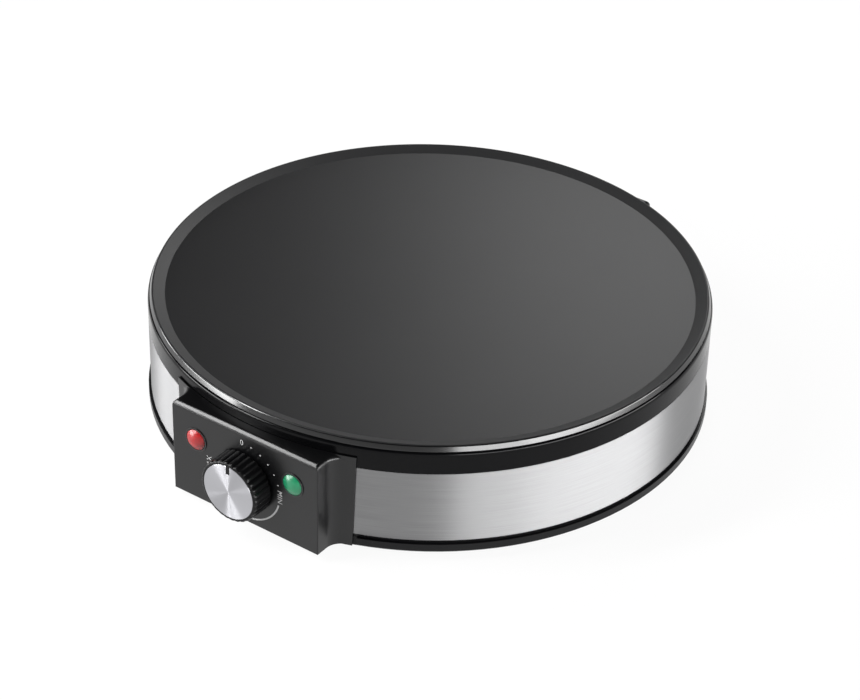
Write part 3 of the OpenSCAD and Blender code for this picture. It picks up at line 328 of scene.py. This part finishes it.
# Collar
# A black glass-filled polyester ring that takes the plate's heat. It comes out of a
# polished mould, so its wall and its rounded shoulder are glossy.
ring_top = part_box("upper_ring")[1].z
wall_top = band_high.z + 10.3 * mm
wall_t = 3.4 * mm
lip_r = 150.5 * mm
ring_inner_r = 141 * mm
flange_z = 59 * mm
flange_t = 2.5 * mm
ring_edge_r = 0.25 * mm
ring_steps = 480
shoulder = [
    (plate_r + (drum_r - plate_r) * math.cos(turn),
     wall_top + (ring_top - wall_top) * math.sin(turn))
    for turn in map(math.radians, (20, 40, 60, 75))
]
gloss_black = moulded_plastic("polished_mould_polyester", "#040405", "#080809", 0.16,
                              0.6 * mm, shine=0.12)
ring_section = [
    (drum_r, band_high.z), (drum_r, wall_top), *shoulder, (plate_r, ring_top),
    (lip_r, ring_top), (lip_r, flange_z),
    (ring_inner_r, flange_z), (ring_inner_r, flange_z - flange_t),
    (drum_r - wall_t, band_high.z),
]
ring = on_drum(turned_form(ring_section, ring_steps, closed=True))
round_edges(ring, ring_edge_r, segments=3, turn=40)
collar = finish_piece("collar", ring, gloss_black)
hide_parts("upper_ring")
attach(collar, "base")

# Cooking plate
# Die-cast aluminium under a sprayed and baked non-stick coat. The coat is matt with
# a fine grain on the surface and its sloping rim, and smooth on the turned side.
rim_w = 7 * mm
rim_rise = 2.5 * mm
side_lean = 1.4 * mm
bead_w = 2 * mm
bead_air = 0.3 * mm
plate_t = 5 * mm
skirt_w = 6 * mm
skirt_h = 1 * mm
crest_r = 1 * mm
lower_edge_r = 0.3 * mm
side_zone_w = 3 * mm
cloud_w = 45 * mm
near = 0.01 * mm
plate_steps = 480
body_r = plate_r - bead_w
rim_r = plate_r - side_lean - rim_w
cook_z = plate_high.z - rim_rise
under_z = cook_z - plate_t
side_foot = ring_top + bead_air


def coated_plate(name, dark, pale, roughness, grain, depth, shine):
    """Baked non-stick coat: an even dark tone with fine pale flecks and a grain of one depth."""
    material, tree, place = start_material(name)
    cloud = add(tree, "TexNoise", {"Vector": place, "Scale": 1 / cloud_w, "Detail": 3})
    # Real flecks are too fine to show, so they are drawn coarser.
    fleck = add(tree, "TexNoise", {"Vector": place, "Scale": 1 / grain, "Detail": 3})
    mixed = add(tree, "Math", {0: cloud.outputs[0], 1: fleck.outputs[0]}, operation="MULTIPLY")
    tone = add(tree, "Mix", {0: mixed.outputs[0], 6: linear(dark), 7: linear(pale)},
               data_type="RGBA")
    gloss = add(tree, "MapRange", {
        "Value": fleck.outputs[0], "To Min": roughness * 1.1, "To Max": roughness * 0.9,
    })
    bump = add(tree, "Bump", {
        "Height": fleck.outputs[0], "Strength": 0.5, "Distance": depth,
    })
    shader = add(tree, "BsdfPrincipled", {
        "Base Color": tone.outputs[2], "Roughness": gloss.outputs[0],
        "Normal": bump.outputs[0], "IOR": 1.4, "Specular IOR Level": shine,
    })
    add(tree, "OutputMaterial", {"Surface": shader.outputs[0]})
    return material


matt_coat = coated_plate("baked_nonstick_coat", "#08080a", "#161617", 0.5,
                         0.5 * mm, 0.03 * mm, 0.5)
side_coat = coated_plate("nonstick_on_turned_side", "#040405", "#080809", 0.18,
                         0.8 * mm, 0.003 * mm, 1.0)
plate_section = [
    (0, cook_z), (rim_r, cook_z), (plate_r - side_lean, plate_high.z), (plate_r, side_foot),
    (body_r, side_foot), (body_r, under_z - skirt_h), (body_r - skirt_w, under_z - skirt_h),
    (body_r - skirt_w - skirt_h, under_z), (0, under_z),
]
casting = on_drum(turned_form(plate_section, plate_steps))
round_edges(casting, lower_edge_r, turn=50, chosen=lambda edge: edge.verts[0].co.z < cook_z)
round_edges(casting, crest_r, segments=6,
            chosen=lambda edge: all(v.co.z > plate_high.z - near for v in edge.verts))
# Rounding takes a little off the crest, so the rim is stretched back to its full height.
crest_top = max(vert.co.z for vert in casting.verts)
for vert in casting.verts:
    if vert.co.z > cook_z + near:
        vert.co.z += (plate_high.z - crest_top) * (vert.co.z - cook_z) / (crest_top - cook_z)
# The smooth coat goes on the crest's outer half, the side and the wall just below it.
for face in casting.faces:
    middle = face.calc_center_median()
    on_side = face.normal.z < 0.8 and (middle - axis).xy.length > plate_r - side_zone_w
    face.material_index = 1 if on_side and middle.z > under_z else 0
plate = finish_piece("plate", casting, matt_coat, side_coat, sharp=16)
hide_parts("cooking_plate")
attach(plate, "base")

# Housings
# Two shells of black ABS that close the drum at the front and at the back. Their
# sides run into the drum in coves, and thin laps cover the ends of the steel.
housing_low, housing_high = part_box("control_housing")
back_low, back_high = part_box("rear_housing")
bore_r = drum_r + 0.3 * mm
lap_r = bore_r + 0.7 * mm
cove_r = 9 * mm
lap_w = 10.7 * mm
lap_taper = 1.8 * mm
top_edge_r = 3 * mm
corner_edge_r = 0.6 * mm
foot_edge_h = 0.4 * mm
shell_t = 2.5 * mm
cove_steps = 16
lap_steps = 4
bore_steps = 96
top_steps = 8
hole_steps = 96
panel_y = housing_low.y
front_half = 47.3 * mm
front_face = axis.y - panel_y
rear_half = 41 * mm
rear_face = back_high.y - axis.y
knob_z = 30 * mm
lamp_x = 31.5 * mm
lamp_z = 41.5 * mm
cord_z = 17 * mm
shaft_hole_r = 5.3 * mm
lamp_hole_r = 6.65 * mm
cord_hole_r = 6.95 * mm
knob_axis = Vector((0, panel_y, knob_z))
power_lamp = Vector((-lamp_x, panel_y, lamp_z))
ready_lamp = Vector((lamp_x, panel_y, lamp_z))
cord_entry = Vector((0, back_high.y, cord_z))


def arc(centre, radius, first, last, steps):
    """Points of an arc between two angles."""
    turns = [first + (last - first) * i / steps for i in range(steps + 1)]
    return [(centre[0] + radius * math.cos(a), centre[1] + radius * math.sin(a)) for a in turns]


def housing_outline(half, face, inset, lap_end):
    """Plan of a housing, drawn in by inset, as points round it from the left lap."""
    reach = lap_r + cove_r
    cove_x = half + cove_r
    cove_y = math.sqrt(reach ** 2 - cove_x ** 2)
    radius = cove_r + inset
    # The cove, grown by the inset, meets the lap's circle short of the line to the axis.
    short = math.acos(min(1, (reach ** 2 + radius ** 2 - lap_r ** 2) / (2 * reach * radius)))
    toward_axis = math.atan2(cove_y, -cove_x) + short
    side = [(half - inset, -(face - inset))]
    side += arc((cove_x, -cove_y), radius, math.pi, toward_axis, cove_steps)
    meets = math.atan2(side[-1][1], side[-1][0])
    ends = -math.acos(lap_end / lap_r)
    side += arc((0, 0), lap_r, meets, ends, lap_steps)[1:]
    behind = arc((0, 0), bore_r, ends, -math.pi - ends, bore_steps)
    return [(-x, y) for x, y in reversed(side)] + side + behind


def housing_block(half, face, low, high):
    """The outer form of a housing: outlines bridged from the foot to the rounded top."""
    foot_edge = ((0, foot_edge_h), (0.15 * mm, 0.12 * mm), (foot_edge_h, 0))
    levels = [(low + rise, inset) for rise, inset in foot_edge]
    for i in range(top_steps + 1):
        turn = math.pi / 2 * i / top_steps
        levels.append((high - top_edge_r * (1 - math.sin(turn)),
                       top_edge_r * (1 - math.cos(turn))))
    bm = bmesh.new()
    loops = []
    for z, inset in levels:
        lap_end = half + lap_w - lap_taper * (high - z) / (high - low)
        points = housing_outline(half, face, inset, lap_end)
        corners = [bm.verts.new((x, y, z)) for x, y in points]
        lines = [bm.edges.new(pair) for pair in zip(corners, corners[1:] + corners[:1])]
        loops.append(lines)
    for below, above in zip(loops, loops[1:]):
        bmesh.ops.bridge_loops(bm, edges=below + above)
    bmesh.ops.contextual_create(bm, geom=loops[0])
    bmesh.ops.contextual_create(bm, geom=loops[-1])
    bmesh.ops.recalc_face_normals(bm, faces=bm.faces)

    def at_corner(vert):
        """Whether a point lies at one of the two outer corners, above the foot's edge."""
        outward = abs(vert.co.x) > half - top_edge_r - near
        forward = vert.co.y < -face + top_edge_r + near
        return outward and forward and low + foot_edge_h - near < vert.co.z < high + near

    def climbs(edge):
        """Whether an edge goes up and not along a level."""
        return abs(edge.verts[0].co.z - edge.verts[1].co.z) > near

    round_edges(bm, corner_edge_r, segments=4, turn=40,
                chosen=lambda edge: climbs(edge) and all(at_corner(v) for v in edge.verts))
    return bm


def cut_away(piece, *cutters):
    """Cuts forms out of a piece and deletes them."""
    piece.modifiers.clear()
    for cutter in cutters:
        form = bpy.data.objects.new("cutter", bpy.data.meshes.new("cutter"))
        bmesh.ops.recalc_face_normals(cutter, faces=cutter.faces)
        cutter.to_mesh(form.data)
        cutter.free()
        bpy.context.scene.collection.objects.link(form)
        modifier = piece.modifiers.new("cut", "BOOLEAN")
        modifier.operation = "DIFFERENCE"
        modifier.solver = "EXACT"
        modifier.object = form
        bpy.context.view_layer.update()
        shown = piece.evaluated_get(bpy.context.evaluated_depsgraph_get())
        made = bpy.data.meshes.new_from_object(shown)
        piece.modifiers.clear()
        old = piece.data
        piece.data = made
        bpy.data.meshes.remove(old)
        bpy.data.objects.remove(form)
    piece.data.set_sharp_from_angle(angle=math.radians(30))
    even_shading(piece)


def block(low, high):
    """A plain block between two corners."""
    bm = bmesh.new()
    bmesh.ops.create_cube(bm, size=1)
    bmesh.ops.scale(bm, vec=high - low, verts=bm.verts)
    bmesh.ops.translate(bm, vec=(low + high) / 2, verts=bm.verts)
    return bm


def facing_out(bm, place):
    """Turns a form that stands along +Z to point to -Y, and moves it to a place."""
    bmesh.ops.rotate(bm, verts=bm.verts, cent=(0, 0, 0),
                     matrix=Matrix.Rotation(math.pi / 2, 3, "X"))
    bmesh.ops.translate(bm, vec=place, verts=bm.verts)
    return bm


def drill(place, radius, depth):
    """A round form through a wall, centred at a place in its outer face."""
    bm = bmesh.new()
    bmesh.ops.create_cone(bm, cap_ends=True, segments=hole_steps, radius1=radius,
                          radius2=radius, depth=depth)
    return facing_out(bm, place)


satin_abs = moulded_plastic("moulded_satin_abs", "#040405", "#080809", 0.3,
                            0.35 * mm, shine=0.45)
shell = housing_block(front_half, front_face, housing_low.z, housing_high.z)
bmesh.ops.translate(shell, vec=axis, verts=shell.verts)
front_housing = finish_piece("front_housing", shell, satin_abs)
cut_away(
    front_housing,
    block(Vector((-front_half + shell_t, panel_y + shell_t, housing_low.z + shell_t)),
          Vector((front_half - shell_t, 0, housing_high.z - shell_t))),
    drill(knob_axis, shaft_hole_r, 4 * shell_t),
    drill(power_lamp, lamp_hole_r, 4 * shell_t),
    drill(ready_lamp, lamp_hole_r, 4 * shell_t),
)
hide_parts("control_housing")
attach(front_housing, "base")

shell = housing_block(rear_half, rear_face, back_low.z, back_high.z)
bmesh.ops.rotate(shell, verts=shell.verts, cent=(0, 0, 0),
                 matrix=Matrix.Rotation(math.pi, 3, "Z"))
bmesh.ops.translate(shell, vec=axis, verts=shell.verts)
rear_housing = finish_piece("back_housing", shell, satin_abs)
cut_away(
    rear_housing,
    block(Vector((-rear_half + shell_t, 0, back_low.z + shell_t)),
          Vector((rear_half - shell_t, back_high.y - shell_t, back_high.z - shell_t))),
    drill(cord_entry, cord_hole_r, 4 * shell_t),
)
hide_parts("rear_housing")
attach(rear_housing, "base")

# Cord gland
# A black polyamide bush, pressed into the rear housing's hole and held by its catch.
# Its mouth is well rounded, so that it doesn't chafe a cord.
gland_edge_r = 0.4 * mm
bush = copy_of("cord_gland")
round_edges(bush, gland_edge_r, segments=3)
gland = finish_piece("gland", bush, black_nylon)
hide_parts("cord_gland")
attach(gland, "base")

# Dial print
# Pale grey marks, pad printed on the panel round the knob: a zero, five dots, the
# words for the lowest and highest setting and an arc below the knob.
print_t = 0.06 * mm
dial_r = 23 * mm
zero_h = 3.2 * mm
word_h = 3 * mm
capital_share = 0.7
dot_r = 0.42 * mm
dot_angles = (12.3, 27.9, 43.1, 58.1, 73.3)
arc_start = 105
arc_end = 258
arc_w = 0.9 * mm
arc_steps = 72
ink = moulded_plastic("pad_printed_ink", "#9c9c9c", "#b4b4b4", 0.5, 0.3 * mm)


def on_dial(angle, radius):
    """The place on the panel at a clockwise angle from the top and a radius from the knob."""
    turn = math.radians(angle)
    return Vector((radius * math.sin(turn), panel_y, knob_z + radius * math.cos(turn)))


def printed(bm, name):
    """Makes a mark a piece in the dial's ink."""
    piece = finish_piece(name, bm, ink)
    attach(piece, "base")


def printed_word(text, height, angle, lean, name):
    """A word in the plain built-in letters, made a thin mesh and set on the dial."""
    words = bpy.data.curves.new(name, "FONT")
    words.body = text
    words.size = height / capital_share
    words.space_character = 1.1
    words.align_x = "CENTER"
    words.align_y = "CENTER"
    words.extrude = print_t / 2
    holder = bpy.data.objects.new(name, words)
    bpy.context.scene.collection.objects.link(holder)
    bpy.context.view_layer.update()
    shown = holder.evaluated_get(bpy.context.evaluated_depsgraph_get())
    mesh = bpy.data.meshes.new_from_object(shown)
    bpy.data.objects.remove(holder)
    bm = bmesh.new()
    bm.from_mesh(mesh)
    facing = Matrix.Rotation(math.pi / 2, 4, "X") @ Matrix.Rotation(-math.radians(lean), 4, "Z")
    placed = Matrix.Translation(on_dial(angle, dial_r)) @ facing
    bmesh.ops.transform(bm, matrix=placed, verts=bm.verts)
    printed(bm, name)


printed_word("0", zero_h, -3, 0, "dial_zero")
printed_word("MIN", word_h, 91, 90, "dial_low")
printed_word("MAX", word_h, 270, 270, "dial_high")
dots = bmesh.new()
for angle in dot_angles:
    dot = bmesh.ops.create_cone(dots, cap_ends=True, segments=24, radius1=dot_r, radius2=dot_r,
                                depth=print_t)
    placed = Matrix.Translation(on_dial(angle, dial_r)) @ Matrix.Rotation(math.pi / 2, 4, "X")
    bmesh.ops.transform(dots, matrix=placed, verts=dot["verts"])
printed(dots, "dial_dots")
stroke = bmesh.new()
section = [
    stroke.verts.new(on_dial(arc_start, dial_r + out * arc_w / 2)
                     + Vector((0, up * print_t / 2, 0)))
    for out, up in ((-1, -1), (1, -1), (1, 1), (-1, 1))
]
stroke.faces.new(section)
bmesh.ops.spin(stroke, geom=stroke.verts[:] + stroke.edges[:] + stroke.faces[:],
               cent=knob_axis, axis=(0, 1, 0), angle=math.radians(arc_end - arc_start),
               steps=arc_steps)
printed(stroke, "dial_arc")

# Knob
# A fluted grip of black ABS on the thermostat's shaft. A spun aluminium disc is
# pressed into its face, and a black pointer shows through a slot in the disc.
knob_low, knob_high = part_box("knob_body")
cap_low, cap_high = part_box("knob_cap")
knob_r = (knob_high.x - knob_low.x) / 2
knob_back = panel_y - knob_high.y
knob_front = panel_y - knob_low.y
cap_seat = panel_y - cap_high.y
cap_front = panel_y - cap_low.y
cap_r = (cap_high.x - cap_low.x) / 2
cap_play = 0.12 * mm
cap_edge_r = 0.3 * mm
cap_steps = 240
seat_t = 1.5 * mm
hollow_r = 14.4 * mm
flutes = 30
flute_d = 0.6 * mm
points_a_flute = 16
pointer_w = 2.2 * mm
pointer_l = 4.8 * mm
pointer_low = knob_z + cap_r - pointer_l
pointer_edge_r = 0.15 * mm
pointer_past = 0.3 * mm
pointer_sunk = 0.2 * mm
slot_play = 0.1 * mm
slot_over = 1 * mm
# Height above the panel, radius and share of the flutes' depth, from the panel outwards
grip_levels = [
    (knob_back, knob_r - 0.5 * mm, 1.0),
    (knob_back + 0.5 * mm, knob_r, 1.0),
    (knob_front - 1.9 * mm, knob_r - 0.25 * mm, 1.0),
    (knob_front - 1.0 * mm, knob_r - 0.4 * mm, 0.9),
    (knob_front - 0.45 * mm, knob_r - 0.7 * mm, 0.6),
    (knob_front - 0.12 * mm, knob_r - 1.15 * mm, 0.25),
    (knob_front, knob_r - 1.6 * mm, 0.0),
    (knob_front, cap_r + cap_play, 0.0),
    (cap_seat, cap_r + cap_play, 0.0),
]
grip = bmesh.new()
rings = []
for z, radius, share in grip_levels:
    made = bmesh.ops.create_circle(grip, segments=flutes * points_a_flute, radius=radius)
    bmesh.ops.translate(grip, vec=(0, 0, z), verts=made["verts"])
    for vert in made["verts"]:
        # The wave leaves rounded ribs with a narrow groove between them.
        wave = 1 - abs(math.cos(flutes / 2 * math.atan2(vert.co.y, vert.co.x)))
        deep = 1 - share * flute_d / radius * wave
        vert.co.x *= deep
        vert.co.y *= deep
    rings.append(list({e for v in made["verts"] for e in v.link_edges}))
for below, above in zip(rings, rings[1:]):
    bmesh.ops.bridge_loops(grip, edges=below + above)
bmesh.ops.contextual_create(grip, geom=rings[0])
bmesh.ops.contextual_create(grip, geom=rings[-1])
knob_black = moulded_plastic("moulded_gloss_abs", "#040405", "#080809", 0.34,
                             0.4 * mm, shine=0.2)
knob = finish_piece("knob", facing_out(grip, knob_axis), knob_black)
cut_away(knob, drill(knob_axis, hollow_r, 2 * (cap_seat - seat_t)))
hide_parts("knob_body")
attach(knob, "knob")


def spun_aluminium(name, dark, pale, groove, roughness):
    """Spun aluminium: fine turned grooves, which stretch highlights into rays."""
    material, tree, place = start_material(name)
    centred = add(tree, "Mapping", {"Vector": place, "Location": -knob_axis}).outputs[0]
    flat = add(tree, "VectorMath", {0: centred, 1: (1, 0, 1)}, operation="MULTIPLY")
    outward = add(tree, "VectorMath", {0: flat.outputs[0]}, operation="NORMALIZE")
    radius = add(tree, "VectorMath", {0: flat.outputs[0]}, operation="LENGTH")
    circles = add(tree, "CombineXYZ", {0: radius.outputs["Value"]})
    # Real grooves are too fine to show, so they are drawn wider.
    turned = add(tree, "TexNoise", {"Vector": circles.outputs[0], "Scale": 1 / groove,
                                    "Detail": 4})
    tone = add(tree, "Mix", {0: turned.outputs[0], 6: linear(dark), 7: linear(pale)},
               data_type="RGBA")
    gloss = add(tree, "MapRange", {
        "Value": turned.outputs[0], "To Min": roughness * 1.15, "To Max": roughness * 0.85,
    })
    shader = add(tree, "BsdfPrincipled", {
        "Base Color": tone.outputs[2], "Roughness": gloss.outputs[0], "Metallic": 1,
        "Anisotropic": 0.95, "Tangent": outward.outputs[0],
    })
    add(tree, "OutputMaterial", {"Surface": shader.outputs[0]})
    return material


aluminium = spun_aluminium("spun_aluminium", "#a8a8ac", "#cacace", 0.12 * mm, 0.34)
blank = bmesh.new()
bmesh.ops.create_cone(blank, cap_ends=True, segments=cap_steps, radius1=cap_r, radius2=cap_r,
                      depth=cap_front - cap_seat)
bmesh.ops.translate(blank, vec=(0, 0, (cap_front + cap_seat) / 2), verts=blank.verts)
round_edges(blank, cap_edge_r, segments=3)
cap = finish_piece("cap", facing_out(blank, knob_axis), aluminium)
cut_away(cap, block(
    Vector((-pointer_w / 2 - slot_play, panel_y - cap_front - slot_over, pointer_low)),
    Vector((pointer_w / 2 + slot_play, panel_y - cap_seat + slot_over,
            knob_z + cap_r + slot_over)),
))
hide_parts("knob_cap")
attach(cap, "knob")

needle = block(
    Vector((-pointer_w / 2, panel_y - cap_front + slot_play, pointer_low + slot_play)),
    Vector((pointer_w / 2, panel_y - cap_seat + pointer_sunk, knob_z + cap_r + pointer_past)),
)
round_edges(needle, pointer_edge_r)
pointer = finish_piece("pointer", needle, knob_black)
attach(pointer, "knob")

# Lamps
# A red and a green lens of translucent polycarbonate, each snapped into a black
# holder with a thin lip on the panel. A neon lamp sits behind each.
lens_r = 5.8 * mm
dome_h = 2.2 * mm
lip_t = 0.5 * mm
lens_depth = 4 * mm
holder_edge_r = 0.15 * mm
swirl_w = 3 * mm
glow_depth = 2 * mm
dome_steps = 16
lens_steps = 96


def lens_plastic(name, deep, painted_highlight_tint):
    """Tinted polycarbonate with a faint swirl: a painted highlight makes it paler where it faces
    the camera, and painted shade makes it deeper at its rim.
    """
    material, tree, place = start_material(name)
    swirl = add(tree, "TexNoise", {"Vector": place, "Scale": 1 / swirl_w, "Detail": 2})
    # Painted highlight and painted shade: the tint is paler where the lens faces the camera and
    # deeper towards its rim.
    edge = add(tree, "LayerWeight", {"Blend": 0.35})
    painted_highlight = add(tree, "MapRange", {"Value": edge.outputs["Facing"], "To Min": 1.0, "To Max": 0.0})
    mixed = add(tree, "Math", {0: painted_highlight.outputs[0], 1: swirl.outputs[0], 2: 0.15},
                operation="MULTIPLY_ADD")
    tone = add(tree, "Mix", {0: mixed.outputs[0], 6: linear(deep), 7: linear(painted_highlight_tint)},
               data_type="RGBA")
    shader = add(tree, "BsdfPrincipled", {
        "Base Color": tone.outputs[2], "Roughness": 0.32, "IOR": 1.58,
        "Subsurface Weight": 0.2, "Subsurface Scale": 1.0,
        "Subsurface Radius": (glow_depth, glow_depth, glow_depth),
    })
    add(tree, "OutputMaterial", {"Surface": shader.outputs[0]})
    return material


ball_r = (lens_r ** 2 + dome_h ** 2) / (2 * dome_h)
dome_turn = math.asin(lens_r / ball_r)
dome = arc((0, lip_t + dome_h - ball_r), ball_r, math.pi / 2, math.pi / 2 - dome_turn,
           dome_steps)
lens_section = dome + [(lens_r, -lens_depth), (0, -lens_depth)]
red = lens_plastic("red_polycarbonate", "#700406", "#a80e12")
green = lens_plastic("green_polycarbonate", "#04583a", "#128458")
for node, place, name, tint in (
    ("power_lens", power_lamp, "red_lens", red),
    ("ready_lens", ready_lamp, "green_lens", green),
):
    form = facing_out(turned_form(lens_section, lens_steps), place)
    lens = finish_piece(node.replace("lens", "light"), form, tint)
    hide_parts(node)
    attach(lens, "base")
clips = copy_of("lamp_holders")
round_edges(clips, holder_edge_r)
holders = finish_piece("lamp_rings", clips, black_nylon)
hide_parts("lamp_holders")
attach(holders, "base")

# Floor and lights
# A seamless white studio floor and a dim, pale room, with soft boxes that draw the
# long highlights on the drum, the panel's edge and the knob.
floor_half = 8
floor_gap = 0.1 * mm
paper_w = 300 * mm
own_white = 0.93
room_light = 0.03
haze_low = math.radians(4)
haze_high = math.radians(14)
floor = bmesh.new()
bmesh.ops.create_grid(floor, x_segments=1, y_segments=1, size=floor_half)
bmesh.ops.translate(floor, vec=(0, 0, -floor_gap), verts=floor.verts)
material, tree, place = start_material("white_floor")
paper = add(tree, "TexNoise", {"Vector": place, "Scale": 1 / paper_w, "Detail": 2})
tone = add(tree, "Mix", {0: paper.outputs[0], 6: linear("#f4f4f4"), 7: linear("#f8f8f8")},
           data_type="RGBA")
shader = add(tree, "BsdfDiffuse", {"Color": tone.outputs[2]})
white = add(tree, "Emission", {"Strength": 1.0})
# The camera, reflections and glass see mostly an even white, with a little of the lit
# paper, which takes the shadows.
path = add(tree, "LightPath")
seen = add(tree, "Math", {0: path.outputs["Is Camera Ray"], 1: path.outputs["Is Glossy Ray"]},
           operation="MAXIMUM")
seen = add(tree, "Math", {0: seen.outputs[0], 1: path.outputs["Is Transmission Ray"]},
           operation="MAXIMUM")
share = add(tree, "Math", {0: seen.outputs[0], 1: own_white}, operation="MULTIPLY")
mixed = add(tree, "MixShader", {0: share.outputs[0], 1: shader.outputs[0], 2: white.outputs[0]})
# Its lower side is clear, so that the underside of the base can be seen through it.
sides = add(tree, "NewGeometry")
clear = add(tree, "BsdfTransparent")
mixed = add(tree, "MixShader", {0: sides.outputs["Backfacing"], 1: mixed.outputs[0],
                                2: clear.outputs[0]})
add(tree, "OutputMaterial", {"Surface": mixed.outputs[0]})
ground = finish_piece("floor", floor, material)

world = bpy.data.worlds.new("studio")
bpy.context.scene.world = world
world.use_nodes = True
tree = world.node_tree
tree.nodes.clear()
# The camera and glass see a white room. Reflections find it white only near the horizon
# and dim above, where the soft boxes make the highlights.
way = add(tree, "SeparateXYZ", {0: add(tree, "TexCoord").outputs["Generated"]})
low = add(tree, "MapRange", {
    "Value": way.outputs[2], "From Min": math.sin(haze_low),
    "From Max": math.sin(haze_high), "To Min": 1.0, "To Max": 0.0,
})
path = add(tree, "LightPath")
mirrored = add(tree, "Math", {0: path.outputs["Is Glossy Ray"], 1: low.outputs[0]},
               operation="MULTIPLY")
seen = add(tree, "Math", {0: path.outputs["Is Camera Ray"],
                          1: path.outputs["Is Transmission Ray"]},
           operation="MAXIMUM")
seen = add(tree, "Math", {0: seen.outputs[0], 1: mirrored.outputs[0]}, operation="MAXIMUM")
level = add(tree, "MapRange", {"Value": seen.outputs[0], "To Min": room_light, "To Max": 1.0})
sky = add(tree, "Background", {"Color": (1, 1, 1, 1), "Strength": level.outputs[0]})
add(tree, "OutputWorld", {"Surface": sky.outputs[0]})


def soft_box(name, azimuth, elevation, roll, distance, width, height, radiance):
    """A soft box that faces the plate, from an azimuth counted from -Y towards +X.

    Angles are in degrees, and the distance, width and height in metres.
    """
    turn = math.radians(azimuth)
    lift = math.radians(elevation)
    way = Vector((
        math.sin(turn) * math.cos(lift), -math.cos(turn) * math.cos(lift), math.sin(lift),
    ))
    lamp = bpy.data.lights.new(name, "AREA")
    lamp.shape = "RECTANGLE"
    lamp.size = width
    lamp.size_y = height
    lamp.energy = radiance * math.pi * width * height
    holder = bpy.data.objects.new(name, lamp)
    holder.matrix_world = (
        Matrix.Translation(view_target + distance * way)
        @ way.to_track_quat("Z", "Y").to_matrix().to_4x4()
        @ Matrix.Rotation(math.radians(roll), 4, "Z")
    )
    holder.visible_camera = False
    bpy.context.scene.collection.objects.link(holder)


soft_box("edge_box", -42, 40, 28, 1.2, 0.2, 1.0, 28)
soft_box("left_strip", -47, 6, 0, 0.75, 0.36, 0.14, 20)
soft_box("left_box", -76, 10, 0, 1.2, 0.25, 0.3, 14)
soft_box("right_strip", 57, 10, 0, 1.2, 0.5, 0.25, 11)
soft_box("side_box", 98, 10, 0, 1.5, 1.6, 0.4, 14)
soft_box("back_box", 197, 36, 0, 0.86, 0.42, 0.1, 20.5)

bpy.context.scene.view_settings.view_transform = "Standard"
